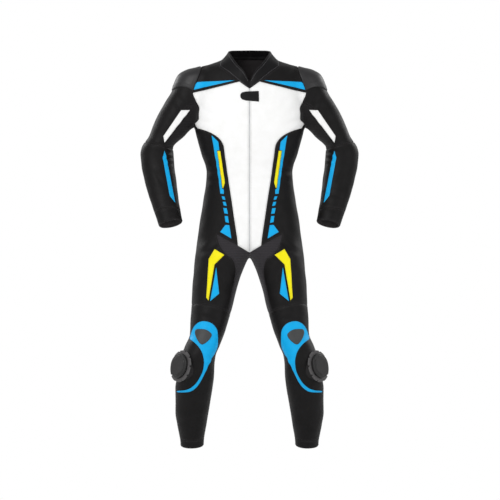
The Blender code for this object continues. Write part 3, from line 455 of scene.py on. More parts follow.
def by_height(sizes, name, z):
    """A size at a height, read off a fine list that is worked out once."""
    key = (id(sizes), name)
    if key not in fine_lists:
        keys = np.linspace(-sizes["z"][0], -sizes["z"][-1], 1500)
        fine_lists[key] = keys, smooth(-sizes["z"], sizes[name], keys)
    return np.interp(-z, *fine_lists[key])


def by_row(sizes, name, row):
    values = sizes[name]
    return smooth(np.arange(len(values), dtype=float), values, row)


def oval_gap(x, y, half_x, half_y, power):
    """How far a point is outside an oval round the origin, near enough, and negative inside."""
    size = (np.abs(x / half_x) ** power + np.abs(y / half_y) ** power) ** (1 / power)
    return (size - 1) * np.minimum(half_x, half_y)


def sizes_at(sizes, z, names):
    return [by_height(sizes, name, z) for name in names.split()]


def trunk_gap(x, y, z):
    front, back, half, power = sizes_at(TRUNK, z, "front back half power")
    return oval_gap(x, y - (back - front) / 2, half, (front + back) / 2, power)


def limb_gap(limb, x, y, z):
    outer, inner, middle, depth, power = sizes_at(limb, z, "outer inner middle depth power")
    return oval_gap(x - (outer + inner) / 2, y - middle, (outer - inner) / 2, depth / 2, power)


def blend(a, b, reach):
    """The smaller of two gaps, rounded where they meet."""
    near = np.maximum(reach - np.abs(a - b), 0) / reach
    return np.minimum(a, b) - near**2 * reach / 4


def form(points):
    """How far each point is outside the filled-out suit, near enough, and negative inside."""
    x = np.abs(points[..., 0])
    y = points[..., 1]
    z = points[..., 2]
    legs = blend(limb_gap(LEG, x, y, z), limb_gap(LEG, -x, y, z), LEG_BLEND)
    share = np.clip((CROTCH_TOP - z) / (CROTCH_TOP - CROTCH_BOTTOM), 0, 1)
    share = share**2 * (3 - 2 * share)
    body = trunk_gap(x, y, z) * (1 - share) + legs * share
    arm = np.maximum(limb_gap(ARM, x, y, z), np.maximum(z - ARM_TOP, ARM_BOTTOM - z))
    return blend(body, arm, ARM_BLEND)


def slope_of(points):
    """The direction in which the form's gap grows, and how fast."""
    step = 0.5 * MM
    rise = np.empty(points.shape)
    for axis in range(3):
        offset = np.zeros(3)
        offset[axis] = step
        rise[..., axis] = (form(points + offset) - form(points - offset)) / (2 * step)
    return rise


def unit(vectors):
    return vectors / np.linalg.norm(vectors, axis=-1, keepdims=True)


def normals_of(points):
    return unit(slope_of(points))


def onto_form(points):
    """Points near the form, moved onto it."""
    for _ in range(8):
        rise = slope_of(points)
        points = points - (form(points) / (rise**2).sum(-1))[..., None] * rise
    return points


def crossing(path, reach, steps=64):
    """The first point on the form of each path, which is a function of the distance along it."""
    along = np.linspace(0, reach, steps)
    inside = form(path(along)) < 0
    changed = inside != inside[..., :1]
    index = np.maximum(changed.argmax(-1), 1)
    low = along[index - 1]
    high = along[index]
    at_start = inside[..., 0]
    for _ in range(20):
        middle = (low + high) / 2
        same = (form(path(middle[..., None]))[..., 0] < 0) == at_start
        low = np.where(same, middle, low)
        high = np.where(same, high, middle)
    return path(low[..., None])[..., 0, :]


def cast(start, way, reach=OUT_OF_TRUNK):
    start, way = np.broadcast_arrays(start, way)
    return crossing(lambda along: start[..., None, :] + along[..., None] * way[..., None, :], reach)


def vector(x, y, z):
    return np.stack(np.broadcast_arrays(x, y, z), -1).astype(float)


def on_front(x, z):
    return cast(vector(x, -AHEAD, z), vector(x * 0, 1, 0), 2 * AHEAD)


def on_back(x, z):
    return cast(vector(x, AHEAD, z), vector(x * 0, -1, 0), 2 * AHEAD)


def between(a, b, share):
    """Points along straight lines from a to b."""
    return a + (b - a) * np.asarray(share, float)[:, None]


def eased(value, low, high):
    """0 below low, 1 above high, and a smooth step between."""
    share = np.clip((value - low) / (high - low), 0, 1)
    return share**2 * (3 - 2 * share)


# ---- Seam lines ----


def shares(cells, first=True, last=True):
    """Even shares of the way from 0 to 1, with more lines next to a seam."""
    near = np.array([0.25, 0.6])
    lines = [np.arange(cells + 1.0)]
    if first:
        lines.append(near)
    if last:
        lines.append(cells - near)
    return np.sort(np.concatenate(lines)) / cells


def lengths(steps):
    """How far along a line each point is, by the steps between its points."""
    return np.concatenate([[0], np.cumsum(steps)])


def joined(*parts):
    """Lines that follow on from each other, as one, and each point's share of the length."""
    line = np.concatenate([parts[0], *(part[1:] for part in parts[1:])])
    length = lengths(np.linalg.norm(np.diff(line, axis=0), axis=1))
    return line, length / length[-1]


def rows_at(sizes, share):
    """The rows of a seam's table at shares of its length, seen from the front."""
    rows = np.linspace(0, len(sizes["z"]) - 1, 500)
    length = lengths(np.hypot(*(np.diff(by_row(sizes, name, rows)) for name in "xz")))
    return np.interp(share * length[-1], length, rows)


def neck_edge(angle):
    """The suit's edge under the collar, by the angle in degrees round the neck from the front."""
    z = np.interp(angle, NECK["angle"], NECK["z"])
    middle = (by_height(TRUNK, "back", z) - by_height(TRUNK, "front", z)) / 2
    turn = np.radians(angle)
    return cast(vector(0, middle, z), vector(np.sin(turn), -np.cos(turn), 0))


def armhole(angle):
    """The armhole's edge, by the angle in degrees from the shoulder's top towards the front."""
    turn = np.radians(angle)[:, None]

    def path(along):
        y = -np.sin(turn) * along
        z = ARMHOLE_MIDDLE_Z + np.cos(turn) * along
        forward = np.clip(-y / BULGE_REACH, 0, 1)
        x = by_height(ARMHOLE, "x", z) + by_height(ARMHOLE, "bulge", z) * forward
        return vector(x, y, z)

    return crossing(path, ARMHOLE_REACH)


def front_armhole(rows):
    return armhole(by_row(ARMHOLE_FRONT, "angle", rows))


def back_armhole(rows):
    return armhole(360 - by_row(ARMHOLE_FRONT, "angle", rows))


def across(start, end, share, on_side):
    """A seam straight across, as seen from the front, from one point of the form to another."""
    line = between(start, end, share)
    points = on_side(line[:, 0], line[:, 2])
    points[0] = start
    points[-1] = end
    return points


def side_seam(seam, share, corner, on_side):
    """The seam down a side of the front or the back, from the armhole's corner."""
    rows = rows_at(seam, share)
    points = on_side(by_row(seam, "x", rows), by_row(seam, "z", rows))
    points[0] = corner
    return points


def ring(rings, row, angle):
    """Points round a limb at a row of its table, by the angle from its outer edge to its front."""
    outer = vector(by_row(rings, "outer_x", row), 0, by_row(rings, "outer_z", row))
    inner = vector(by_row(rings, "inner_x", row), 0, by_row(rings, "inner_z", row))
    limb = ARM if rings is SLEEVE_RINGS else LEG
    middle = (outer + inner) / 2
    middle[..., 1] = by_height(limb, "middle", middle[..., 2])
    tilt = np.radians(by_row(rings, "tilt", row))
    ahead = vector(0 * tilt, -np.cos(tilt), np.sin(tilt))
    turn = np.radians(angle)[..., None]
    return cast(middle, np.cos(turn) * unit(outer - inner) + np.sin(turn) * ahead)


def knee_line(angle):
    return ring(LEG_RINGS, 0 * angle, angle)


# ---- Grids of points, one or two for each cut piece ----


def round_axis(points, axis, facing):
    """Points as (angle from facing, distance, height) round an upright axis."""
    away = points - axis
    angle = np.arctan2(away[..., 1], away[..., 0]) - facing
    angle = (angle + math.pi) % (2 * math.pi) - math.pi
    return vector(angle, np.hypot(away[..., 0], away[..., 1]), away[..., 2])


def from_axis(coordinates, axis, facing):
    angle = coordinates[..., 0] + facing
    distance = coordinates[..., 1]
    return axis + vector(distance * np.cos(angle), distance * np.sin(angle), coordinates[..., 2])


def leg_axis():
    outer, inner, middle = sizes_at(LEG, np.array(LEG_AXIS_Z), "outer inner middle")
    return np.array([(outer + inner) / 2, middle, 0.0])


def from_leg_axis(points):
    """Points moved level onto the leg, away from its axis, and never past the suit's middle."""
    start = leg_axis() + vector(0, 0, points[..., 2])
    way = unit((points - start) * (1, 1, 0))
    found = cast(start, way)
    past = np.clip(found[..., 0] / np.minimum(way[..., 0], -0.01), 0, None)
    return found - way * past[..., None]


def patch(top, bottom, left, right, u, v, axis=None, facing=0.0, project=onto_form):
    """A grid on the form between four seam lines, straight across or round an upright axis."""
    edges = [top, bottom, left, right]
    if axis is not None:
        edges = [round_axis(edge, axis, facing) for edge in edges]
    upper, lower, start, end = edges
    u = u[None, :, None]
    v = v[:, None, None]
    rows = (1 - v) * upper[None] + v * lower[None]
    columns = (1 - u) * start[:, None] + u * end[:, None]
    top_corners = (1 - u) * upper[0] + u * upper[-1]
    bottom_corners = (1 - u) * lower[0] + u * lower[-1]
    grid = rows + columns - (1 - v) * top_corners - v * bottom_corners
    if axis is not None:
        grid = from_axis(grid, axis, facing)
    grid = project(grid)
    grid[0] = top
    grid[-1] = bottom
    grid[:, 0] = left
    grid[:, -1] = right
    return grid


def front_like(seam, armhole_edge, on_side, neck_angles, edge_x):
    """The two grids of a front, or of half a back: down to the armpit, and on to the crotch."""
    neck = neck_edge(neck_angles[0] + (neck_angles[1] - neck_angles[0]) * shares(6, last=False))
    neck[0] = on_side(np.array([edge_x]), neck[:1, 2])[0]
    v = shares(30, last=False)
    edge = armhole_edge(4 * v)
    top, u = joined(neck, across(neck[-1], edge[0], shares(24, first=False), on_side))
    beside = np.array([edge_x])
    chest_line = across(on_side(beside, edge[-1:, 2])[0], edge[-1], u, on_side)
    middle_z = top[0, 2] + (chest_line[0, 2] - top[0, 2]) * v
    upper = patch(top, chest_line, on_side(0 * middle_z + edge_x, middle_z), edge, u, v)
    v = shares(92, first=False)
    outer = side_seam(seam, v, edge[-1], on_side)
    fall = (outer[:, 2] - outer[0, 2]) / (outer[-1, 2] - outer[0, 2])
    lower_z = chest_line[0, 2] + (CROTCH_POINT - chest_line[0, 2]) * fall
    middle = on_side(0 * lower_z + edge_x, lower_z)
    middle[0] = chest_line[0]
    bottom = across(middle[-1], outer[-1], u, on_side)
    return upper, patch(chest_line, bottom, middle, outer, u, v)


def yoke_grid():
    v = shares(48)
    u = shares(26)
    neck = neck_edge(YOKE_FRONT + (YOKE_BACK - YOKE_FRONT) * v)
    edge = armhole(YOKE_ARMHOLE - 2 * YOKE_ARMHOLE * v)
    front = across(neck[0], edge[0], u, on_front)
    back = across(neck[-1], edge[-1], u, on_back)
    return patch(front, back, neck, edge, u, v)


def horns():
    """The gusset's two points at the hip, at the front and at the back."""
    x = GUSSET_EDGE["x"][:1]
    z = GUSSET_EDGE["z"][:1]
    return on_front(x, z)[0], on_back(x, z)[0]


def hip_line(share):
    """The line from the front horn of the gusset round the hip to its back horn."""
    front, back = horns()
    start = math.atan2(front[1], front[0])
    turn = start + (math.atan2(back[1], back[0]) - start) * share
    z = front[2] + HIP_RISE * np.sin(math.pi * share)
    line = cast(vector(0, 0 * z, z), vector(np.cos(turn), np.sin(turn), 0))
    line[0] = front
    line[-1] = back
    return line


def side_grids():
    """The side: the flank down to the hip, and the outer thigh down to the knee seam."""
    v = shares(88)
    ends = armhole(np.array([ARMPIT_FRONT, ARMPIT_BACK]))
    front = side_seam(FRONT_SEAM, v, ends[0], on_front)
    back = side_seam(BACK_SEAM, v, ends[1], on_back)
    hip = hip_line(shares(72))
    foot = across(front[-1], hip[0], shares(15, last=False), on_front)
    rear_foot = across(hip[-1], back[-1], shares(15, first=False), on_back)
    bottom, u = joined(foot, hip, rear_foot)
    top = armhole(ARMPIT_FRONT + (ARMPIT_BACK - ARMPIT_FRONT) * u)
    flank = patch(top, bottom, front, back, u, v, np.zeros(3))
    v = shares(54)
    edges = gusset_edges(v)
    hip, u = joined(hip)
    knee = knee_line(KNEE_GUSSET_ANGLE * (1 - 2 * u))
    thigh = patch(hip, knee, *edges, u, v, leg_axis(), 0.0, from_leg_axis)
    return flank, thigh


def gusset_edges(share):
    rows = rows_at(GUSSET_EDGE, share)
    x = by_row(GUSSET_EDGE, "x", rows)
    z = by_row(GUSSET_EDGE, "z", rows)
    front = on_front(x, z)
    back = on_back(x, z)
    front[0], back[0] = horns()
    front[-1] = knee_line(np.array([KNEE_GUSSET_ANGLE]))[0]
    back[-1] = knee_line(np.array([-KNEE_GUSSET_ANGLE]))[0]
    return front, back


def gusset_grid(front_foot, back_foot):
    """The gusset, from its front horn along the front's foot and the crotch to its back horn."""
    v = shares(54)
    front, back = gusset_edges(v)
    middle = np.zeros(1)
    point = np.array([CROTCH_POINT])
    start = on_front(middle, point)[0]
    end = on_back(middle, point)[0]
    centre = np.array([0, 0, CROTCH_TOP])
    dip = [math.atan2(CROTCH_TOP - tip[2], abs(tip[1])) for tip in (start, end)]
    turn = dip[0] + (math.pi - dip[1] - dip[0]) * shares(36, False, False)
    under = cast(centre, vector(0, -np.cos(turn), -np.sin(turn)))
    under[0] = start
    under[-1] = end
    ahead = across(front[0], front_foot[-1], shares(15, last=False), on_front)
    behind = across(back_foot[-1], back[0], shares(15, first=False), on_back)
    beside_zip = np.stack([front_foot[0], start])
    top, u = joined(ahead, front_foot[::-1], beside_zip, under, back_foot, behind)
    knee = knee_line(KNEE_GUSSET_ANGLE + (360 - 2 * KNEE_GUSSET_ANGLE) * u)
    return patch(top, knee, front, back, u, v, leg_axis(), math.pi, from_leg_axis)


def sleeve_turn(column):
    """The angles round the sleeve and round the armhole at a column."""
    half = SLEEVE_ANGLES
    angle = np.concatenate([half["angle"], 360 - half["angle"][-2::-1]])
    hole = half["armhole"] / MM
    hole = np.concatenate([hole, 360 - hole[-2::-1]])
    numbers = np.arange(len(angle))
    turns = np.floor(column / SLEEVE_COLUMNS)
    column = column - SLEEVE_COLUMNS * turns
    return (
        np.interp(column, numbers, angle) + 360 * turns,
        np.interp(column, numbers, hole) + 360 * turns,
    )


def sleeve_grid(rows, columns):
    """Rings of the sleeve at rows, where row 0 is the armhole, and at columns round it."""
    angle, hole = sleeve_turn(columns)
    grid = []
    for row in rows:
        line = ring(SLEEVE_RINGS, np.full(len(columns), max(row - 1.0, 0.0)), angle)
        if row < 1:
            line = onto_form(armhole(hole) * (1 - row) + line * row)
        grid.append(line)
    return np.array(grid)


def leg_grid(rows, angle):
    return np.array([ring(LEG_RINGS, 0 * angle + row, angle) for row in rows])


# ---- Sheets: points, faces and what lies beside each point ----


def weld(*grids):
    """Grids joined into one sheet: its points, and its four-cornered faces, facing out."""
    points = np.concatenate([grid.reshape(-1, 3) for grid in grids])
    faces = []
    start = 0
    for grid in grids:
        number = start + np.arange(grid.shape[0] * grid.shape[1]).reshape(grid.shape[:2])
        corners = [number[:-1, :-1], number[:-1, 1:], number[1:, 1:], number[1:, :-1]]
        faces.append(np.stack(corners, -1).reshape(-1, 4))
        start += number.size
    same = np.round(points / WELD_WITHIN)
    _, keep, index = np.unique(same, axis=0, return_index=True, return_inverse=True)
    faces = index.reshape(-1)[np.concatenate(faces)]
    points = points[keep]
    four = np.sort(faces, axis=1)
    doubles = (np.diff(four, axis=1) == 0).sum(axis=1)
    loops = [tuple(face) for face in faces[doubles == 0].tolist()]
    for face in faces[doubles == 1].tolist():
        loops.append(tuple(dict.fromkeys(face)))
    return points, facing_out(points, loops)


def facing_out(points, loops):
    corners = points[np.array([loop[:3] for loop in loops])]
    facing = np.cross(corners[:, 1] - corners[:, 0], corners[:, 2] - corners[:, 0])
    if (facing * normals_of(corners.mean(axis=1))).sum() < 0:
        return [loop[::-1] for loop in loops]
    return loops


def rim_loops(loops):
    """The sheet's open edges, as closed runs of points in the direction of their faces."""
    edges = {}
    for loop in loops:
        for a, b in zip(loop, loop[1:] + loop[:1]):
            edges[(a, b)] = True
    following = {a: b for a, b in edges if (b, a) not in edges}
    runs = []
    while following:
        start, point = following.popitem()
        run = [start]
        while point != start:
            run.append(point)
            point = following.pop(point)
        runs.append(run)
    return runs


def inwards_at(points, normals, run):
    """How to move each point of a rim so that each edge beside it moves in by 1."""
    line = points[run]
    up = normals[run]
    ahead = np.roll(line, -1, axis=0) - line
    edge_in = np.cross(up + np.roll(up, -1, axis=0), ahead)
    edge_in /= np.maximum(np.linalg.norm(edge_in, axis=1, keepdims=True), TINY)
    total = edge_in + np.roll(edge_in, 1, axis=0)
    size = (total**2).sum(axis=1, keepdims=True)
    return total * 2 / np.maximum(size, 1.0)


def distance_to(points, lines):
    """How far each point is from the nearest of some closed lines, as far as that matters."""
    marks = []
    for line in lines:
        following = np.roll(line, -1, axis=0)
        longest = np.linalg.norm(following - line, axis=1).max()
        count = max(2, int(np.ceil(longest / MARK_SPACING)))
        for share in np.arange(count) / count:
            marks.append(line + (following - line) * share)
    marks = np.concatenate(marks)
    tree = kdtree.KDTree(len(marks))
    for number, mark in enumerate(marks.tolist()):
        tree.insert(mark, number)
    tree.balance()
    found = np.array([tree.find(point)[2] for point in points.tolist()])
    return np.minimum(found, EDGE_REACH)


def rim_gap(points, runs):
    return distance_to(points, [points[run] for run in runs])


def rounded_edge(gap, radius):
    """From 0 at an edge to 1 at its radius, along a quarter of a circle."""
    return np.sqrt(1 - (1 - np.clip(gap / radius, 0, 1)) ** 2)


# How strongly the worn tone shows by the gap to an edge: rubbed wear, and painted shade and sheen.
def wear_and_painted_light_edge(gap, width):
    return np.exp(-((gap / width) ** 2))


def on_own_side(points, loops, side):
    """Points, faces, normals and rims, on its own side, of a sheet drawn on the wearer's left."""
    if side < 0:
        points = points * (-1, 1, 1)
        loops = [loop[::-1] for loop in loops]
    return points, loops, normals_of(points), rim_loops(loops)


def creased(points, normals, side):
    """How far the creases lift the leather at points on the wearer's left (1) or right (-1)."""
    x = np.abs(points[:, 0])
    z = points[:, 2]
    lift = np.zeros(len(points))
    middle_keeps = eased(x, 6 * MM, 24 * MM)
    for number in range(len(CREASES["x"])):
        crease = {name: values[number] for name, values in CREASES.items()}
        away_x = x - crease["x"]
        away_z = z - crease["z"]
        near = np.hypot(away_x, away_z) < crease["length"] + 4 * crease["width"]
        if not near.any():
            continue
        turn = math.radians(crease["angle"])
        along = (away_x[near] * math.cos(turn) + away_z[near] * math.sin(turn)) / crease["length"]
        beside = away_z[near] * math.cos(turn) - away_x[near] * math.sin(turn)
        beside = (beside + crease["bend"] * along**2) / crease["width"]
        trough = 0.4 * np.exp(-(((np.abs(beside) - 1.75) / 0.85) ** 2)) - np.exp(-(beside**2))
        ends = np.clip(1 - along**2, 0, 1) ** 1.5
        shown = 1.0
        if crease["facing"]:
            shown = eased(crease["facing"] * normals[near, 1], 0.0, 0.4)
        share = crease["left"] if side > 0 else crease["right"]
        lift[near] += crease["depth"] * share * trough * ends * shown
    # Slack leather is never quite even.
    slack = np.sin(x * 71 + side * 2 + z * 23) * np.sin(z * 64 + points[:, 1] * 51 + side)
    return (lift + SLACK * slack) * middle_keeps


def drawn_in(points, gap):
    """How far a seam draws the leather in, by the gap to it. It does so least beside the zip."""
    share = 0.3 + 0.7 * eased(np.abs(points[:, 0]), 6 * MM, 14 * MM)
    return share * ROLL_DEPTH * np.exp(-((gap / ROLL_WIDTH) ** 2))


class Sheet:
    """One piece's leather on one side of the wearer, with its creases and its rolled seams."""

    def __init__(self, points, loops, side):
        self.side = side
        self.points, self.loops, self.normals, self.runs = on_own_side(points, loops, side)
        self.rims = [self.points[run] for run in self.runs]
        self.to_rim = distance_to(self.points, self.rims)

    def lift(self, points, normals, rolled=1.0):
        """How far the finished leather lies above the form."""
        height = creased(points, normals, self.side)
        if rolled:
            height = height - rolled * drawn_in(points, distance_to(points, self.rims))
        return height


def shell(points, loops, normals, runs, high, low, bevel=0.0):
    """A closed wall from low to high above a sheet, with its upper edge taken in by the bevel."""
    moved = points.copy()
    top = points.copy()
    for run in runs:
        way = inwards_at(points, normals, run)
        moved[run] += way * SEWN_GAP / 2
        top[run] += way * (SEWN_GAP / 2 + bevel)
    upper = top + normals * high[:, None]
    lower = moved + normals * low[:, None]
    count = len(points)
    faces = list(loops)
    faces += [tuple(number + count for number in reversed(loop)) for loop in loops]
    extra = []
    start = 2 * count
    for run in runs:
        size = len(run)
        if bevel:
            # A second line round the edge, below the top, makes the bevel.
            extra.append(moved[run] + normals[run] * (low[run] * 0.45 + high[run] * 0.55)[:, None])
        for i in range(size):
            j = (i + 1) % size
            a, b = run[i], run[j]
            if bevel:
                faces.append((b, a, start + i, start + j))
                faces.append((start + j, start + i, a + count, b + count))
            else:
                faces.append((b, a, a + count, b + count))
        if bevel:
            start += size
    return np.concatenate([upper, lower, *extra]), faces


def linked(name, data):
    """A new object, in the scene."""
    made = bpy.data.objects.new(name, data)
    bpy.context.scene.collection.objects.link(made)
    return made


def mesh_piece(name, points, faces, finishes, second=None, edge=None):
    """An object of one or two finishes. The second is on the faces from one number to another."""
    mesh = bpy.data.meshes.new(name)
    mesh.from_pydata(points.tolist(), [], faces)
    made = linked(name, mesh)
    for finish in finishes:
        mesh.materials.append(finish)
    if second is not None:
        numbers = np.zeros(len(faces), dtype=np.int32)
        numbers[second[0] : second[1]] = 1
        mesh.polygons.foreach_set("material_index", numbers)
    # The edge attribute places the leather's worn tone, rubbed wear and painted shade and sheen.
    # Points past those given, below and round the cut edges, take it in full.
    if edge is not None:
        wear = mesh.attributes.new("edge", "FLOAT", "POINT")
        values = np.ones(len(points), dtype=np.float32)
        values[: len(edge)] = edge
        wear.data.foreach_set("value", values)
    mesh.update()
    mesh.shade_smooth()
    mesh.set_sharp_from_angle(angle=math.radians(SHARP_ANGLE))
    return made


def ridden(piece, finish):
    """A piece that goes with the suit's body. The finish that it is given is not used."""
    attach(piece, "root")


def finished(piece, packed, finish):
    """A piece that stands in for a packed one."""
    ridden(piece, finish)
    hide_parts(packed)


def cut_from(name):
    """Looks up the flat piece that a sheet is cut from, and does nothing more with it."""
    width, length, area = PATTERNS[name]


# ---- Finishes ----

# Real sizes of the patterns in the finishes.
PEBBLE = 1.613 * MM  # of the leather's grain. Real pebbles are about 1 mm, too fine to show.
PORE = 0.6667 * MM  # drawn coarser than the real 0.1 mm, so that it shows
DYE_PATCH = 38.46 * MM  # how far apart the darker places of the dye are
RIB = 6.042 * MM  # from rib to rib of the stretch cloth, which is about 3 mm, too fine to show
KNIT = 0.5263 * MM
STIPPLE_CUP = 1.111 * MM  # grit of the moulds, drawn coarser than the real 0.3 mm, so that it shows
STIPPLE_BASE = 2.0 * MM
STIPPLE_PUCK = 1.4286 * MM
LOOP_PILE = 0.7143 * MM
HANDLED_PATCH = 25.0 * MM  # how far apart the duller places of a moulded skin are
SCRAPE_WIDTH = 3.3333 * MM
SCRAPE_LENGTH = 35.714 * MM
TWIST = 0.6283 * MM  # of the thread's plies
NAP = 1.4286 * MM  # of the flesh side. Real fibres are finer, and wouldn't show.
TAPE_RIB = 1.2083 * MM
TOOTH_PATCH = 11.11 * MM
FLOOR_PATCH = 333.33 * MM

COLOURS = {"data_type": "RGBA"}  # what a Mix node mixes, between its inputs 6 and 7
TIMES = {"operation": "MULTIPLY"}
TIMES_AND_ADD = {"operation": "MULTIPLY_ADD"}


def linear(value):
    return value / 12.92 if value <= 0.04045 else ((value + 0.055) / 1.055) ** 2.4


def colour(code):
    """A colour from its six hexadecimal figures."""
    return (*(linear(int(code[i : i + 2], 16) / 255) for i in (0, 2, 4)), 1.0)


def bands(spacing):
    """The scale of a wave pattern whose bands are this far apart."""
    return math.pi / 10 / spacing


def wire(tree, made, **sockets):
    """Sets or links a node's inputs, each named with _ for a space, or with _ and its number."""
    for name, value in sockets.items():
        socket = made.inputs[int(name[1:]) if name[0] == "_" else name.replace("_", " ")]
        if isinstance(value, bpy.types.NodeSocket):
            tree.links.new(value, socket)
        else:
            socket.default_value = value


def node(tree, kind, output=0, settings=None, **sockets):
    """Adds a node with its settings and links, and gives back one of its outputs."""
    made = tree.nodes.new(kind)
    for name, value in (settings or {}).items():
        setattr(made, name, value)
    wire(tree, made, **sockets)
    return made.outputs[output]


def blank(name, **sockets):
    """A new material, its tree, its shader, and object coordinates."""
    made = bpy.data.materials.new(name)
    made.use_nodes = True
    tree = made.node_tree
    shader = tree.nodes["Principled BSDF"]
    wire(tree, shader, **sockets)
    return made, tree, shader, node(tree, "ShaderNodeTexCoord", "Object")


def leather(name, base, wear_and_painted_light, deep, roughness, wear_and_painted_light_share=0.5):
    """Cowhide, drum-dyed, pebbled and lightly coated.

    Its low sheen is broken up by the pebbles, and its dye is uneven. Near the seams it takes a worn
    tone, partly rubbed wear and partly painted light: painted shade where that tone is darker than the
    dye, painted sheen where it is lighter.
    """
    coat = {"Coat_Weight": 0.02, "Coat_Roughness": 0.35}
    sheen = {"Roughness": roughness, "Specular_IOR_Level": 0.18}
    made, tree, shader, place = blank(name, **sheen, **coat)
    to_edge = {"feature": "DISTANCE_TO_EDGE"}
    cells = node(tree, "ShaderNodeTexVoronoi", "Distance", to_edge, Vector=place, Scale=1 / PEBBLE)
    pebbles = node(tree, "ShaderNodeMapRange", Value=cells, From_Max=0.35)
    fine = {"Scale": 1 / PORE, "Detail": 3.0, "Roughness": 0.6}
    pores = node(tree, "ShaderNodeTexNoise", "Fac", Vector=place, **fine)
    coarse = {"Scale": 1 / DYE_PATCH, "Detail": 5.0, "Roughness": 0.6}
    broad = node(tree, "ShaderNodeTexNoise", "Fac", Vector=place, **coarse)
    height = node(tree, "ShaderNodeMath", 0, TIMES_AND_ADD, _0=pores, _1=0.4, _2=pebbles)
    uneven = node(tree, "ShaderNodeMapRange", Value=broad, From_Min=0.35, From_Max=0.7)
    dyes = {"_6": colour(base), "_7": colour(deep)}
    dye = node(tree, "ShaderNodeMix", 2, COLOURS, Factor=uneven, **dyes)
    # Near seams and edges the worn tone is mixed in: rubbed wear, and painted light, painted shade
    # where that tone is darker than the dye and painted sheen where it is lighter.
    edge = node(tree, "ShaderNodeAttribute", "Fac", {"attribute_name": "edge"})
    patchy = node(tree, "ShaderNodeMapRange", Value=broad, From_Min=0.3, From_Max=0.6)
    wear_and_painted_light_mix = node(tree, "ShaderNodeMath", 0, TIMES, _0=edge, _1=patchy)
    wear_and_painted_light_mix = node(tree, "ShaderNodeMath", 0, TIMES, _0=wear_and_painted_light_mix, _1=wear_and_painted_light_share)
    skin = node(tree, "ShaderNodeMix", 2, COLOURS, Factor=wear_and_painted_light_mix, _6=dye, _7=colour(wear_and_painted_light))
    dulled = {"From_Min": 0.3, "From_Max": 0.7, "To_Min": roughness - 0.05, "To_Max": roughness + 0.08}
    gloss = node(tree, "ShaderNodeMapRange", Value=broad, **dulled)
    bump = node(tree, "ShaderNodeBump", Strength=0.35, Distance=0.4 * MM, Height=height)
    wire(tree, shader, Base_Color=skin, Roughness=gloss, Normal=bump)
    return made


def stretch_cloth(name, base, painted_lit_rib_colour):
    """Ribbed aramid and elastane knit: close level ribs, dull, with a faint bloom at a low angle, and
    painted shade between the ribs, whose crests are painted lighter.
    """
    bloom = {"Sheen_Weight": 0.12, "Sheen_Roughness": 0.5}
    made, tree, shader, place = blank(name, Roughness=0.88, Specular_IOR_Level=0.25, **bloom)
    level = {"wave_type": "BANDS", "bands_direction": "Z", "wave_profile": "SIN"}
    rib = {"Scale": bands(RIB), "Distortion": 0.5, "Detail": 1.0}
    ribs = node(tree, "ShaderNodeTexWave", "Fac", level, Vector=place, **rib)
    knit = node(tree, "ShaderNodeTexNoise", "Fac", Vector=place, Scale=1 / KNIT)
    height = node(tree, "ShaderNodeMath", 0, TIMES_AND_ADD, _0=knit, _1=0.35, _2=ribs)
    # Painted light: the rib crests take the lighter colour, and the grooves between them the darker,
    # as painted shade.
    rib_shade_tones = {"_6": colour(base), "_7": colour(painted_lit_rib_colour)}
    cloth = node(tree, "ShaderNodeMix", 2, COLOURS, Factor=ribs, **rib_shade_tones)
    bump = node(tree, "ShaderNodeBump", Strength=0.6, Distance=0.9 * MM, Height=height)
    wire(tree, shader, Base_Color=cloth, Normal=bump)
    return made


def moulded(name, base, lighter, roughness, stipple, scuffs=0.0):
    """Moulded plastic: a dull skin with the mould's fine stipple, handled, and scraped by the road."""
    made, tree, shader, place = blank(name, Roughness=roughness, Specular_IOR_Level=0.5)
    grit = node(tree, "ShaderNodeTexNoise", "Fac", Vector=place, Scale=1 / stipple)
    coarse = {"Scale": 1 / HANDLED_PATCH, "Detail": 6.0, "Roughness": 0.65}
    broad = node(tree, "ShaderNodeTexNoise", "Fac", Vector=place, **coarse)
    uneven = node(tree, "ShaderNodeMapRange", Value=broad, From_Min=0.4, From_Max=0.7)
    tones = {"_6": colour(base), "_7": colour(lighter)}
    skin = node(tree, "ShaderNodeMix", 2, COLOURS, Factor=uneven, **tones)
    if scuffs:
        drawn_out = (1 / SCRAPE_WIDTH, 1 / SCRAPE_WIDTH, 1 / SCRAPE_LENGTH)
        stretched = node(tree, "ShaderNodeMapping", Vector=place, Scale=drawn_out)
        lines = node(tree, "ShaderNodeTexNoise", "Fac", Vector=stretched, Scale=1.0, Detail=4.0)
        faint = {"From_Min": 0.58, "From_Max": 0.72, "To_Max": scuffs}
        scraped = node(tree, "ShaderNodeMapRange", Value=lines, **faint)
        scrapes = {"_6": skin, "_7": colour("8a8886")}
        skin = node(tree, "ShaderNodeMix", 2, COLOURS, Factor=scraped, **scrapes)
    dulled = {"From_Min": 0.3, "From_Max": 0.7, "To_Min": roughness - 0.06, "To_Max": roughness + 0.1}
    gloss = node(tree, "ShaderNodeMapRange", Value=broad, **dulled)
    bump = node(tree, "ShaderNodeBump", Strength=0.3, Distance=0.3 * MM, Height=grit)
    wire(tree, shader, Base_Color=skin, Roughness=gloss, Normal=bump)
    return made


def thread(name, base):
    """Bonded nylon thread, two plies twisted together: a soft gloss, with darker lines across it that
    are painted shade between the plies.
    """
    made, tree, shader, place = blank(name, Roughness=0.55, Specular_IOR_Level=0.4)
    plies = {"Scale": bands(TWIST), "Distortion": 2.0}
    twist = node(tree, "ShaderNodeTexWave", "Fac", Vector=place, **plies)
    # Painted shade: the lines between the twisted plies are darkened towards near-black.
    ply_groove_shade = node(tree, "ShaderNodeMapRange", Value=twist, To_Max=0.35)
    tones = {"_6": colour(base), "_7": colour("101010")}
    wire(tree, shader, Base_Color=node(tree, "ShaderNodeMix", 2, COLOURS, Factor=ply_groove_shade, **tones))
    return made


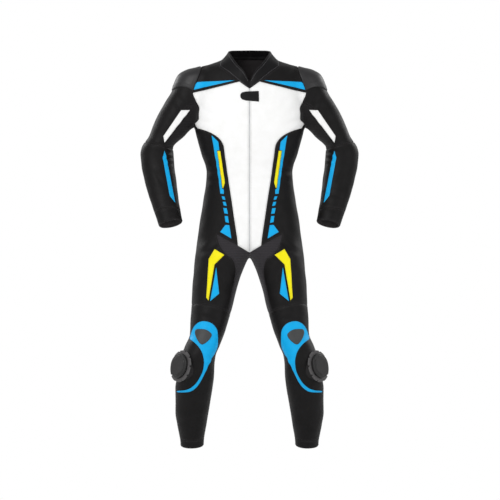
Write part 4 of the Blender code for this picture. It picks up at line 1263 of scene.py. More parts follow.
def backing(name):
    """The leather's flesh side and woven backing: a flat, napped grey inside neck, cuffs and hems."""
    made, tree, shader, place = blank(name, Roughness=0.92, Specular_IOR_Level=0.2)
    nap = node(tree, "ShaderNodeTexNoise", "Fac", Vector=place, Scale=1 / NAP, Detail=4.0)
    tones = {"_6": colour("3c393a"), "_7": colour("4c494a")}
    cloth = node(tree, "ShaderNodeMix", 2, COLOURS, Factor=nap, **tones)
    bump = node(tree, "ShaderNodeBump", Strength=0.4, Distance=0.4 * MM, Height=nap)
    wire(tree, shader, Base_Color=cloth, Normal=bump)
    return made


def zip_tape(name):
    """Woven polyester zip tape: a matt near-white with a fine cross rib, painted darker between the
    ribs as painted shade.
    """
    made, tree, shader, place = blank(name, Roughness=0.8, Specular_IOR_Level=0.3)
    level = {"bands_direction": "Z"}
    woven = {"Scale": bands(TAPE_RIB), "Distortion": 0.3}
    rib = node(tree, "ShaderNodeTexWave", "Fac", level, Vector=place, **woven)
    # Painted light: the rib crests take the lighter tone, and the grooves between them the darker, as
    # painted shade.
    tones = {"_6": colour("d6d7d8"), "_7": colour("e6e7e8")}
    cloth = node(tree, "ShaderNodeMix", 2, COLOURS, Factor=rib, **tones)
    bump = node(tree, "ShaderNodeBump", Strength=0.5, Distance=0.3 * MM, Height=rib)
    wire(tree, shader, Base_Color=cloth, Normal=bump)
    return made


def zip_teeth(name):
    """Moulded acetal zip teeth: near-white and a little glossy, greyer in places from handling."""
    made, tree, shader, place = blank(name, Roughness=0.35, Specular_IOR_Level=0.5)
    grime = {"Scale": 1 / TOOTH_PATCH, "Detail": 4.0}
    patches = node(tree, "ShaderNodeTexNoise", "Fac", Vector=place, **grime)
    grey = node(tree, "ShaderNodeMapRange", Value=patches, From_Min=0.45, From_Max=0.75)
    tones = {"_6": colour("e2e3e4"), "_7": colour("cfd0d2")}
    wire(tree, shader, Base_Color=node(tree, "ShaderNodeMix", 2, COLOURS, Factor=grey, **tones))
    return made


def pale_floor():
    """A painted studio floor: matt and near-white, with hardly any tone of its own."""
    made, tree, shader, place = blank("pale_floor", Roughness=0.8)
    paint = {"Scale": 1 / FLOOR_PATCH, "Detail": 3.0}
    patches = node(tree, "ShaderNodeTexNoise", "Fac", Vector=place, **paint)
    tones = {"_6": colour("f4f4f3"), "_7": colour("f8f8f8")}
    wire(tree, shader, Base_Color=node(tree, "ShaderNodeMix", 2, COLOURS, Factor=patches, **tones))
    return made


# The second colour of each leather is its worn tone at seams and edges: rubbed wear, and painted shade
# where it is darker than the dye, painted sheen where it is lighter.
BLACK = leather("black_cowhide", "0e0c0d", "252223", "090808", 0.52)
BLACK_TRIM = leather("black_trim_leather", "0c0b0d", "222022", "080709", 0.5)
WHITE = leather("white_cowhide", "fbfbfb", "e2e1df", "f6f6f5", 0.5, 0.35)
BLUE = leather("blue_cowhide", "00b0f2", "38bdf4", "00a9e8", 0.46, 0.3)
YELLOW = leather("yellow_cowhide", "fdf00e", "efe22c", "f6e908", 0.46, 0.3)
# The second colour of each stretch cloth is painted light on its rib crests, with painted shade
# between them.
GUSSET_CLOTH = stretch_cloth("grey_stretch_cloth", "2a282b", "343135")
LENS_CLOTH = stretch_cloth("black_stretch_cloth", "121011", "1a1819")
BACKING = backing("leather_backing")
# Polyurethane, moulded: the cups and shields have a low gloss, and the base plate is matt.
CUP = moulded("cup_plastic", "1a191b", "201f21", 0.46, STIPPLE_CUP)
SHIELD = moulded("shield_plastic", "343637", "3b3d3e", 0.5, STIPPLE_CUP)
BASE = moulded("hook_base_plastic", "4e4c4d", "565455", 0.7, STIPPLE_BASE)
# Hook-and-loop pad: its short pile is dull, and reads as a fine grain.
PAD = moulded("hook_pad", "141213", "1c1a1b", 0.85, LOOP_PILE)
# Nylon, moulded: near-black, duller and lightly scraped on the face that meets the road.
PUCK = moulded("puck_plastic", "0d0c0c", "121112", 0.46, STIPPLE_PUCK)
PUCK_FACE = moulded("puck_face_plastic", "181617", "1e1c1d", 0.58, STIPPLE_PUCK, 0.05)
TAPE = zip_tape("zip_tape_weave")
TEETH = zip_teeth("zip_teeth")
THREADS = {
    "black": thread("black_thread", "2b292a"),
    "grey": thread("grey_thread", "77767a"),
    "white": thread("white_thread", "e9e9e8"),
    "blue": thread("blue_thread", "0a93d0"),
    "yellow": thread("yellow_thread", "d9cd14"),
}

# What each finish of the record is called, its material, and the colour of its thread.
SLOTS = {
    "black": ("black_leather", BLACK, "black"),
    "white": ("white_leather", WHITE, "white"),
    "blue": ("blue_leather", BLUE, "blue"),
    "yellow": ("yellow_leather", YELLOW, "yellow"),
    "gusset": ("stretch_cloth", GUSSET_CLOTH, "black"),
    "lens": ("stretch_cloth", LENS_CLOTH, "black"),
    "shield": ("moulded_shield", SHIELD, None),
    "trim": ("black_leather", BLACK_TRIM, "black"),
}

# The lines of stitches to make, by the colour of their thread, and whether each line is closed.
stitch_lines = {name: [] for name in THREADS}

# ---- Cut pieces ----


def evened(line, step, closed=True):
    """A line's points, at even steps of about the length given."""
    if closed:
        line = np.concatenate([line, line[:1]])
    length = lengths(np.linalg.norm(np.diff(line, axis=0), axis=1))
    count = max(int(round(length[-1] / step)), 3)
    at = np.linspace(0, length[-1], count + 1)
    if closed:
        at = at[:-1]
    return np.stack([np.interp(at, length, line[:, axis]) for axis in range(3)], -1)


def stitch_along(sheet, line, inset, above, thread_colour, rolled=1.0):
    """Keeps a line of stitches that runs inside a closed line on a sheet."""
    rim = evened(line, 4 * MM)
    way = inwards_at(rim, normals_of(rim), list(range(len(rim))))
    line = onto_form(rim + way * inset)
    # In a sharp corner the line would cross itself, so it turns round before that.
    line = line[distance_to(line, [rim]) > STITCH_CORNER * inset]
    normals = normals_of(line)
    height = sheet.lift(line, normals, rolled) + above
    stitch_lines[thread_colour].append((line + normals * height[:, None], True))


def panel(name, grids, finish, sides=SIDES):
    """A cut piece on each side, or one whole piece: its skin, its flesh side and its stitches."""
    slot, skin, thread_colour = SLOTS[finish]
    points, loops = weld(*grids)
    sheets = []
    for prefix, side in sides:
        sheet = Sheet(points, loops, side)
        height = creased(sheet.points, sheet.normals, side)
        height -= drawn_in(sheet.points, sheet.to_rim)
        wall = shell(sheet.points, sheet.loops, sheet.normals, sheet.runs, height, height - WALL)
        inside = (len(loops), 2 * len(loops))
        # Near its seams the leather takes its worn tone: rubbed wear, with painted shade in the seams'
        # grooves where that tone is darker and painted sheen where it is lighter.
        edge = wear_and_painted_light_edge(sheet.to_rim, WEAR_AND_PAINTED_LIGHT_WIDTH)
        piece = mesh_piece(prefix + name + "_sewn", *wall, (skin, BACKING), inside, edge)
        finished(piece, prefix + name, slot)
        cut_from(name)
        for line in sheet.rims:
            stitch_along(sheet, line, STITCH_IN, STITCH_ABOVE, thread_colour)
        sheets.append(sheet)
    return sheets


def rounded(outline, times):
    """An outline with its corners cut again and again, so that they are round."""
    for _ in range(times):
        following = np.roll(outline, -1, axis=0)
        cut = [outline * 0.75 + following * 0.25, outline * 0.25 + following * 0.75]
        outline = np.stack(cut, axis=1).reshape(-1, 2)
    return outline


def softened(outline, radius):
    """An outline whose sharp corners are taken off by a small radius."""
    before = np.roll(outline, 1, axis=0) - outline
    after = np.roll(outline, -1, axis=0) - outline
    points = []
    for corner, one, two in zip(outline, before, after):
        reach_one = min(radius, np.linalg.norm(one) / 3)
        reach_two = min(radius, np.linalg.norm(two) / 3)
        start = corner + one / np.linalg.norm(one) * reach_one
        end = corner + two / np.linalg.norm(two) * reach_two
        for share in (0.0, 0.25, 0.5, 0.75, 1.0):
            one_way = start + (corner - start) * share
            other_way = corner + (end - corner) * share
            points.append(one_way + (other_way - one_way) * share)
    return np.array(points)


def stepped(outline, step):
    """An outline with points at most a step apart."""
    points = []
    for start, end in zip(outline, np.roll(outline, -1, axis=0)):
        count = max(1, int(np.ceil(np.linalg.norm(end - start) / step)))
        points += [start + (end - start) * i / count for i in range(count)]
    return np.array(points)


def gap_to(outline, points):
    """How far points in the plane are inside an outline, negative outside."""
    start = outline
    end = np.roll(outline, -1, axis=0)
    way = end - start
    size = (way**2).sum(axis=1)
    away = points[:, None] - start[None]
    share = np.clip((away * way).sum(-1) / np.maximum(size, TINY), 0, 1)
    near = np.linalg.norm(away - share[..., None] * way, axis=-1).min(axis=1)
    above = start[None, :, 1] > points[:, None, 1]
    above_end = end[None, :, 1] > points[:, None, 1]
    rise = np.where(np.abs(way[:, 1]) > TINY, way[:, 1], TINY)
    x = start[:, 0] + (points[:, None, 1] - start[:, 1]) / rise * way[:, 0]
    inside = ((above != above_end) & (points[:, None, 0] < x)).sum(axis=1) % 2 == 1
    return np.where(inside, near, -near)


def filled(outline, spacing, steps):
    """Points and triangles that fill an outline, with lines of points along its inside."""
    centre_way = np.roll(outline, -1, axis=0) - np.roll(outline, 1, axis=0)
    x, y = outline.T
    turned = np.sign((x * np.roll(y, -1) - np.roll(x, -1) * y).sum())
    inwards = np.stack([-centre_way[:, 1], centre_way[:, 0]], -1) * turned
    inwards /= np.maximum(np.linalg.norm(inwards, axis=1, keepdims=True), TINY)
    inner = []
    for step in steps:
        line = outline + inwards * step
        inner.append(line[gap_to(outline, line) > step * 0.8])
    low = outline.min(axis=0)
    high = outline.max(axis=0)
    rows = np.arange(low[1], high[1], spacing * 0.866)
    hexes = []
    for number, row in enumerate(rows):
        x = np.arange(low[0] + spacing / 2 * (number % 2), high[0], spacing)
        hexes.append(np.stack([x, np.full(len(x), row)], -1))
    hexes = np.concatenate(hexes)
    hexes = hexes[gap_to(outline, hexes) > max(steps) + spacing * 0.6]
    every = [Vector(point) for point in np.concatenate([outline, *inner, hexes]).tolist()]
    count = len(outline)
    edges = [(i, (i + 1) % count) for i in range(count)]
    found = geometry.delaunay_2d_cdt(every, edges, [], 1, 1e-7)
    flat = np.array([tuple(point) for point in found[0]])
    loops = [tuple(face) for face in found[2]]
    middle = np.array([flat[list(loop)].mean(axis=0) for loop in loops])
    keep = gap_to(outline, middle) > 0
    loops = [loop for loop, kept in zip(loops, keep) if kept]
    used = sorted({number for loop in loops for number in loop})
    index = {number: i for i, number in enumerate(used)}
    return flat[used], [tuple(index[number] for number in loop) for loop in loops]


def lay(name, sheets, outline, low, wall, finish, radius, rolled=ROLL_BELOW, sides=SIDES):
    """A piece laid on a sheet. Its outline, as seen from the front, is cast onto the form."""
    slot, skin, thread_colour = SLOTS[finish]
    steps = [radius * 0.3, radius, radius + LAID_RING]
    flat, loops = filled(outline, FILL_SPACING, steps)
    points = seen_from_front(flat)
    loops = facing_out(points, loops)
    for (prefix, side), sheet in zip(sides, sheets):
        own, own_loops, normals, runs = on_own_side(points, loops, side)
        gap = rim_gap(own, runs)
        ground = sheet.lift(own, normals, rolled) + low
        high = ground + wall * (0.35 + 0.65 * rounded_edge(gap, radius))
        upper, faces = shell(own, own_loops, normals, runs, high, ground, BEVEL)
        # Near its edge the laid-on leather takes its worn tone: rubbed wear, with painted sheen where
        # that tone is lighter than the dye and painted shade where it is darker.
        edge = wear_and_painted_light_edge(gap, WEAR_AND_PAINTED_LIGHT_WIDTH_LAID)
        piece = mesh_piece(prefix + name + "_sewn", upper, faces, (skin,), edge=edge)
        finished(piece, prefix + name, slot)
        if name in PATTERNS:
            cut_from(name)
        if thread_colour:
            for run in runs:
                stitch_along(sheet, own[run], STITCH_IN_LAID, low + wall, thread_colour, rolled)


def seen_from_front(flat):
    return on_front(flat[:, 0], flat[:, 1])


def make_shoulder_cups():
    """The moulded cups over the shoulders, from the armhole down to a curved edge."""
    low_edge = np.array(SHOULDER_CUP[2:14], float) * MM
    columns = 2 * LENS_COLUMN * shares(64) - LENS_COLUMN
    tries = np.linspace(0, 5, 90)
    grid = sleeve_grid(tries, columns)
    above = grid[..., 2] - smooth(low_edge[:, 0], low_edge[:, 1], grid[..., 0])
    kept = above[0] > 0
    columns = columns[kept]
    above = above[:, kept]
    # Each line down the sleeve ends where it crosses the low edge.
    first = (above < 0).argmax(axis=0)
    span = above[first - 1, np.arange(len(columns))]
    after = above[first, np.arange(len(columns))]
    ends = tries[first - 1] + (tries[first] - tries[first - 1]) * span / (span - after)
    ends[0] = ends[-1] = 0.0
    angle, hole = sleeve_turn(columns)
    start = armhole(hole)
    rows = []
    for share in shares(26):
        row = ends * share
        line = ring(SLEEVE_RINGS, np.maximum(row - 1.0, 0.0), angle)
        part = np.minimum(row, 1)[:, None]
        near_armhole = onto_form(start * (1 - part) + line * part)
        rows.append(np.where(row[:, None] < 1, near_armhole, line))
    points, loops = weld(np.array(rows))
    for prefix, side in SIDES:
        own, own_loops, normals, runs = on_own_side(points, loops, side)
        gap = rim_gap(own, runs)
        rib = CUP_RIB * np.exp(-(((gap - CUP_RIB_INSET) / CUP_RIB_WIDTH) ** 2))
        high = SEAM + (CUP_WALL - CUP_RIB) * (0.25 + 0.75 * rounded_edge(gap, CUP_EDGE)) + rib
        low = np.full(len(own), SEAM)
        upper, faces = shell(own, own_loops, normals, runs, high, low, CUP_BEVEL)
        piece = mesh_piece(prefix + "shoulder_cup_moulded", upper, faces, (CUP,))
        finished(piece, prefix + "shoulder_cup", "moulded_cup")


def make_dashes(sheets, dashes):
    """The short blue bars down the flank, part of the side, so that they stand in for nothing."""
    top = SEAM + DASH_WALL
    for (prefix, side), sheet in zip(SIDES, sheets):
        points = []
        faces = []
        start = 0
        for dash in dashes:
            flat, loops = filled(dash, FILL_SPACING, [0.3 * MM, 1.2 * MM])
            own = seen_from_front(flat)
            own, loops, normals, runs = on_own_side(own, facing_out(own, loops), side)
            ground = sheet.lift(own, normals, ROLL_BELOW) + SEAM
            rise = np.clip(rim_gap(own, runs) / DASH_WALL, 0, 1)
            high = ground + DASH_WALL * (0.35 + 0.65 * rise)
            upper, own_faces = shell(own, loops, normals, runs, high, ground, BEVEL)
            points.append(upper)
            faces += [tuple(number + start for number in face) for face in own_faces]
            start += len(upper)
            for run in runs:
                stitch_along(sheet, own[run], DASH_STITCH_IN, top, "blue", ROLL_BELOW)
        made = mesh_piece(prefix + "flank_dashes", np.concatenate(points), faces, (BLUE,))
        ridden(made, "blue_leather")
        cut_from("flank_dashes")


def facing_way(centre, way):
    """The placement that turns +Z to a direction and moves the origin to a centre."""
    turned = Vector(way).to_track_quat("Z", "Y").to_matrix().to_4x4()
    return np.array(Matrix.Translation(Vector(centre)) @ turned)


def placed(place, local):
    return local @ place[:3, :3].T + place[:3, 3]


def rings_joined(rings):
    """The faces between closed rings of points, and over the middle of the first and the last."""
    size = len(rings[0])
    points = np.concatenate([*rings, rings[0].mean(axis=0)[None], rings[-1].mean(axis=0)[None]])
    ends = [(i, (i + 1) % size) for i in range(size)]
    faces = []
    for start in range(0, (len(rings) - 1) * size, size):
        faces += [(start + i, start + j, start + size + j, start + size + i) for i, j in ends]
    last = (len(rings) - 1) * size
    faces += [(j, i, len(points) - 2) for i, j in ends]
    faces += [(last + i, last + j, len(points) - 1) for i, j in ends]
    return points, faces


def slider_flange(place, ahead, level):
    """The notched flange, with a rounded upper edge."""
    inner = FLANGE_RADIUS - NOTCH_DEPTH
    # Shares of the way from one notch to the next, and the radius there.
    one = [(-0.10, FLANGE_RADIUS), (-0.07, inner), (0.0, inner), (0.07, inner)]
    one += [(share, FLANGE_RADIUS) for share in (0.10, 0.24, 0.37, 0.5, 0.63, 0.76)]
    step = 2 * math.pi / SLIDER_NOTCHES
    outline = []
    for notch in range(SLIDER_NOTCHES):
        for share, radius in one:
            angle = (notch + share) * step
            outline.append((radius * math.cos(angle), radius * math.sin(angle)))
    outline = stepped(softened(np.array(outline), 1.2 * MM), 2.5 * MM)
    flat, loops = filled(outline, 5 * MM, [0.35 * MM, 1.0 * MM, FLANGE_EDGE])
    points = placed(place, vector(flat[:, 0], flat[:, 1], level))
    corner = points[list(loops[0][:3])]
    if np.cross(corner[1] - corner[0], corner[2] - corner[0]) @ ahead < 0:
        loops = [loop[::-1] for loop in loops]
    normals = np.tile(ahead, (len(points), 1))
    runs = rim_loops(loops)
    high = FLANGE_WALL * (0.72 + 0.28 * rounded_edge(rim_gap(points, runs), FLANGE_EDGE))
    return shell(points, loops, normals, runs, high, np.zeros(len(points)), BEVEL)


def slider_pad(ring_at, middle, ahead, sheet, top, clear):
    """The hook pad: its foot follows the knee, and it is drawn in a little below the flange."""

    def on_knee(radius):
        return cast(ring_at(radius, clear), -ahead)

    foot = on_knee(PAD_RADIUS)
    normals = normals_of(foot)
    foot = foot + normals * (sheet.lift(foot, normals, 0.0) + SEAM)[:, None]
    foot_level = (foot - middle) @ ahead
    rings = []
    for share in (0.3, 0.65):
        level = (on_knee(PAD_RADIUS * share) - middle) @ ahead + SEAM * 2
        rings.append(ring_at(PAD_RADIUS * share, np.minimum(level, top - 0.5 * MM)))
    rings.append(ring_at(PAD_RADIUS, foot_level))
    for share in (0.06, 0.2, 0.4, 0.6, 0.8, 0.94, 1.0):
        waist = 1.4 * MM * math.sin(math.pi * share)
        level = foot_level + (top - foot_level) * share
        rings.append(ring_at(PAD_RADIUS - waist - 0.2 * MM * share, level))
    rings.append(ring_at(PAD_RADIUS * 0.5, top))
    return rings_joined(rings)


def slider_puck(ring_at, around, bottom, height):
    """The puck, a soft hexagon. The faces of its raised part come last, and are counted."""
    six = np.cos(6 * around)
    face = PUCK_FACE_RADIUS * (1.03 - 0.06 * six)
    side = PUCK_RADIUS * (0.995 - 0.012 * six)
    rim = height - PUCK_FACE_HEIGHT
    rings = [ring_at(side * 0.5, bottom), ring_at(side - 1.0 * MM, bottom)]
    rings.append(ring_at(side, bottom + 1.0 * MM))
    for share in (0.0, 0.25, 0.5, 0.75, 1.0):
        bend = math.pi / 2 * share
        drop = PUCK_EDGE * (1 - math.sin(bend))
        rings.append(ring_at(side - PUCK_EDGE * (1 - math.cos(bend)), rim - drop))
    steps = ((3.4, rim - 0.4 * MM), (2.2, rim), (1.2, height - 0.7 * MM), (0.0, height - 0.1 * MM))
    rings += [ring_at(face + wider * MM, level) for wider, level in steps]
    first = (len(rings) - 2) * SLIDER_POINTS
    for share in (0.93, 0.8, 0.6, 0.4, 0.2):
        dish = 0.25 * MM * (1 - share) if share < 0.9 else 0.0
        rings.append(ring_at(face * share, height - dish))
    points, faces = rings_joined(rings)
    last = (len(rings) - 1) * SLIDER_POINTS
    raised = faces[first:last] + faces[-SLIDER_POINTS:]
    return points, faces[:first] + faces[last:-SLIDER_POINTS] + raised, len(raised)


def make_sliders(sheets):
    """The knee sliders: a hook pad shaped to the knee, a notched flange, and a puck on top."""
    turn = math.radians(SLIDER_TURN)
    tilt = math.radians(SLIDER_TILT)
    level = math.cos(tilt)
    ahead = np.array([math.sin(turn) * level, -math.cos(turn) * level, math.sin(tilt)])
    z = np.array([SLIDER_HEIGHT])
    outer, inner, depth = sizes_at(LEG, z, "outer inner middle")
    middle = vector((outer + inner) / 2, depth, z)[0]
    leather_level = float(np.linalg.norm(cast(middle[None], ahead[None])[0] - middle))
    flange_level = leather_level + PAD_WALL
    height = leather_level + PUCK_HEIGHT
    place = facing_way(middle, ahead)
    around = np.linspace(0, 2 * math.pi, SLIDER_POINTS, endpoint=False)

    def ring_at(radius, level):
        return placed(place, vector(radius * np.cos(around), radius * np.sin(around), level))

    flange = slider_flange(place, ahead, flange_level)
    top = flange_level - 0.1 * MM
    pad = slider_pad(ring_at, middle, ahead, sheets[0], top, height + 10 * MM)
    *puck, raised = slider_puck(ring_at, around, flange_level + FLANGE_WALL + SEAM, height)
    for prefix, side in SIDES:
        made = []
        for points, faces in (flange, pad, puck):
            faces = faces if side > 0 else [loop[::-1] for loop in faces]
            made.append((points * (side, 1, 1), faces))
        piece = mesh_piece(prefix + "slider_flange", *made[0], (BASE,))
        finished(piece, prefix + "slider_base", "slider_base")
        ridden(mesh_piece(prefix + "slider_pad", *made[1], (PAD,)), "slider_base")
        count = len(made[2][1])
        name = prefix + "slider_puck_moulded"
        piece = mesh_piece(name, *made[2], (PUCK, PUCK_FACE), (count - raised, count))
        finished(piece, prefix + "slider_puck", "slider_puck")


def both_sides(line):
    """A line from the middle of the front to the middle of the back, and on round to the front."""
    return np.concatenate([line, line[-2::-1] * (-1, 1, 1)])


def make_collar():
    """The stand collar: a folded band with a rolled top edge, bound at its foot, a V in front."""
    front = NECK_START + (YOKE_FRONT - NECK_START) * shares(8, last=False)[:-1]
    angle = np.concatenate([front, np.linspace(YOKE_FRONT, 180, 70)])
    foot = neck_edge(angle)
    tops = [NECK[name] for name in ("top_x", "top_y", "top_z")]
    top = vector(*(smooth(NECK["angle"], values, angle) for values in tops))
    foot = foot + unit(top - foot) * SEAM
    foot[0, 0] = top[0, 0] = SEAM
    foot = both_sides(foot)
    top = both_sides(top)
    radius = COLLAR_WALL / 2
    height = np.linalg.norm(top - foot, axis=1, keepdims=True)
    upward = (top - foot) / height
    outwards = unit(np.cross(np.gradient(foot + (top - foot) * 0.5, axis=0), upward))
    reach = height - radius
    # Its foot is tucked in below the neck's edge.
    rows = [foot - upward * 3.0 * MM - outwards * 3.0 * MM]
    rows.append(foot - upward * 0.8 * MM - outwards * 2.2 * MM)
    for share in shares(12):
        high = reach[:, 0] * share
        from_top = reach[:, 0] * (1 - share)
        # The bound top edge stands a little proud, and the foot is drawn in at its seam.
        proud = 0.5 * MM * np.exp(-((from_top / (5 * MM)) ** 4))
        proud = proud - 1.4 * MM * np.exp(-((high / ROLL_WIDTH) ** 2))
        wave = 0.35 * MM * np.sin(foot[:, 0] * 70 + 1) * np.sin(math.pi * share)
        rows.append(foot + upward * high[:, None] + outwards * (proud + wave)[:, None])
    outer_rows = len(rows)
    for turn in (30, 60, 90, 120, 150, 180):
        bend = math.radians(turn)
        over = outwards * (radius * (math.cos(bend) - 1)) + upward * (radius * math.sin(bend))
        rows.append(foot + upward * reach + over)
    for share in shares(12)[::-1][1:]:
        tucked = 1.6 * MM * np.exp(-((reach * share / (4 * MM)) ** 2))
        rows.append(foot + upward * reach * share - outwards * (COLLAR_WALL + tucked))
    rows.append(foot - upward * 3.0 * MM - outwards * 4.6 * MM)
    grid = np.array(rows)
    number = np.arange(grid.shape[0] * grid.shape[1]).reshape(grid.shape[:2])
    following = np.roll(number, -1, axis=0)
    corners = [number[:, :-1], number[:, 1:], following[:, 1:], following[:, :-1]]
    faces = [tuple(face) for face in np.stack(corners, -1).reshape(-1, 4).tolist()]
    faces += [tuple(number[:, 0].tolist()), tuple(number[::-1, -1].tolist())]
    # The rolled top edge and the tucked foot take the trim leather's lighter worn tone: rubbed wear
    # and a painted sheen.
    edge = np.zeros(grid.shape[:2])
    edge[outer_rows - 2 : outer_rows + 4] = 0.8
    edge[:3] = 0.6
    points = grid.reshape(-1, 3)
    made = mesh_piece("collar_sewn", points, faces, (BLACK_TRIM,), edge=edge.reshape(-1))
    finished(made, "collar", "black_leather")
    cut_from("collar")
    for high in (3.2 * MM, reach[:, 0] - 6.5 * MM):
        line = foot + upward * np.reshape(high, (-1, 1)) + outwards * 0.35 * MM
        stitch_lines["grey"].append((line[4:-4], False))


def make_zip(fronts):
    """The closed zip's woven tape. Returns the line along its middle that the teeth stand on."""
    z = np.concatenate([fronts[0][1:, 0, 2], fronts[1][1:, 0, 2]])
    half = ZIP_WIDTH / 2 + SEAM
    grid = np.stack([on_front(0 * z + half * share, z) for share in (-1, -0.5, 0, 0.5, 1)], axis=1)
    points, loops = weld(grid)
    height = np.full(len(points), -ZIP_RECESS - TAPE_DROP)
    low = height - TAPE_WALL
    wall = shell(points, loops, normals_of(points), rim_loops(loops), height, low)
    finished(mesh_piece("zip_tape", *wall, (TAPE,)), "zip", "zip_tape")
    middle = on_front(0 * z, z)
    return middle + normals_of(middle) * -ZIP_RECESS


# ---- Stitches and teeth ----


def line_object(name, lines):
    """A mesh of edges only, one run for each line."""
    points = []
    edges = []
    for line, closed in lines:
        start = len(points)
        points += line.tolist()
        edges += [(start + i, start + i + 1) for i in range(len(line) - 1)]
        if closed:
            edges.append((len(points) - 1, start))
    mesh = bpy.data.meshes.new(name)
    mesh.from_pydata(points, edges, [])
    return linked(name, mesh)


def repeat_tree(name, shape_maker, finish):
    """Geometry Nodes that set one small shape along lines, at even steps and turned along them."""
    tree = bpy.data.node_groups.new(name, "GeometryNodeTree")
    face = tree.interface
    face.new_socket("Lines", in_out="INPUT", socket_type="NodeSocketGeometry")
    sockets = {}
    for key in ("Pitch", "Length", "Width", "Height"):
        sockets[key] = face.new_socket(key, in_out="INPUT", socket_type="NodeSocketFloat")
    face.new_socket("Geometry", in_out="OUTPUT", socket_type="NodeSocketGeometry")
    given = tree.nodes.new("NodeGroupInput").outputs
    curve = node(tree, "GeometryNodeMeshToCurve", Mesh=given["Lines"])
    spaced = {"Curve": curve, "Length": given["Pitch"]}
    spots = node(tree, "GeometryNodeCurveToPoints", "Points", {"mode": "LENGTH"}, **spaced)
    tangent = spots.node.outputs["Tangent"]
    sizes = {axis: given[key] for axis, key in (("X", "Length"), ("Y", "Width"), ("Z", "Height"))}
    size = node(tree, "ShaderNodeCombineXYZ", **sizes)
    one = node(tree, "GeometryNodeTransform", Geometry=shape_maker(tree), Scale=size)
    way = node(tree, "FunctionNodeAlignRotationToVector", 0, {"axis": "X"}, Vector=tangent)
    turned = {"Instance": one, "Rotation": way}
    copies = node(tree, "GeometryNodeInstanceOnPoints", Points=spots, **turned)
    real = node(tree, "GeometryNodeRealizeInstances", Geometry=copies)
    painted = node(tree, "GeometryNodeSetMaterial", Geometry=real, Material=finish)
    wire(tree, tree.nodes.new("NodeGroupOutput"), Geometry=painted)
    return tree, {key: socket.identifier for key, socket in sockets.items()}


def stitch_shape(tree):
    """A stitch: a plump grain 1 long, 1 wide and 1 high."""
    ball = node(tree, "GeometryNodeMeshUVSphere", "Mesh", Segments=6, Rings=4, Radius=0.5)
    return node(tree, "GeometryNodeTransform", Geometry=ball, Rotation=(0, math.pi / 2, 0))


def tooth_shape(tree):
    """A zip tooth: a block 1 long, 1 wide and 1 high."""
    return node(tree, "GeometryNodeMeshCube", "Mesh", Size=(1, 1, 1))


def repeated(name, lines, shape_maker, finish, pitch, size):
    """The finished mesh of a small shape repeated along lines."""
    made = line_object(name + "_lines", lines)
    tree, identifiers = repeat_tree(name + "_along_lines", shape_maker, finish)
    modifier = made.modifiers.new("repeat", "NODES")
    modifier.node_group = tree
    for key, value in zip(("Pitch", "Length", "Width", "Height"), (pitch, *size)):
        modifier[identifiers[key]] = value
    graph = bpy.context.evaluated_depsgraph_get()
    mesh = bpy.data.meshes.new_from_object(made.evaluated_get(graph))
    made.modifiers.remove(modifier)
    bpy.data.objects.remove(made)
    mesh.name = name
    mesh.shade_smooth()
    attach(linked(name, mesh), "root")


def make_stitches():
    size = (STITCH_LENGTH, STITCH_THICK, STITCH_THICK)
    for name, finish in THREADS.items():
        lines = stitch_lines[name]
        repeated(name + "_stitches", lines, stitch_shape, finish, STITCH_PITCH, size)


def make_teeth(line):
    """Two rows of moulded teeth that mesh along the zip's middle, half a pitch apart."""
    step = 1.0 * MM
    even = evened(line, step, closed=False)
    for name, side, shift in (("left_zip_teeth", 1, 0.0), ("right_zip_teeth", -1, TOOTH_PITCH / 2)):
        run = even[int(round(shift / step)) :] + (side * TOOTH_OUT, 0, 0)
        repeated(name, [(run, False)], tooth_shape, TEETH, TOOTH_PITCH, TOOTH_SIZE)


# ---- The suit ----

# Flat cut sizes: width and length of each cut piece, and its area, in metres and square metres.
PATTERNS = {
    "front": (0.235, 0.64, 0.067),
    "back": (0.44, 0.73, 0.18),
    "yoke": (0.17, 0.28, 0.032),
    "side": (0.5, 0.73, 0.224),
    "gusset": (0.4, 0.31, 0.045),
    "upper_sleeve": (0.27, 0.34, 0.0735),
    "sleeve_lens": (0.17, 0.21, 0.0268),
    "forearm_front": (0.18, 0.27, 0.042),
    "forearm_back": (0.19, 0.27, 0.0448),
    "cuff": (0.29, 0.055, 0.0136),
    "shin": (0.24, 0.49, 0.105),
    "calf": (0.23, 0.48, 0.0965),
    "ankle_band": (0.29, 0.031, 0.0084),
    "chest_wedge": (0.155, 0.036, 0.0022),
    "sleeve_stripe": (0.035, 0.155, 0.0029),
    "forearm_stripe": (0.029, 0.192, 0.0028),
    "flank_stripe": (0.028, 0.217, 0.0026),
    "flank_bar": (0.022, 0.138, 0.0015),
    "flank_arrow": (0.045, 0.05, 0.0011),
    "thigh_bar": (0.045, 0.2, 0.0039),
    "thigh_wedge": (0.036, 0.13, 0.0017),
    "knee_surround": (0.165, 0.27, 0.0148),
    "flank_dashes": (0.03, 0.1, 0.001),
    "neck_tab": (0.07, 0.038, 0.0022),
    "collar": (0.54, 0.058, 0.0255),
}


def drawn(outline, radius, step=3 * MM):
    """An outline of the tables in metres, with softened corners and points at most a step apart."""
    return stepped(softened(np.array(outline, float) * MM, radius), step)


def drawn_round(outline, step):
    return stepped(rounded(np.array(outline, float) * MM, 2), step)


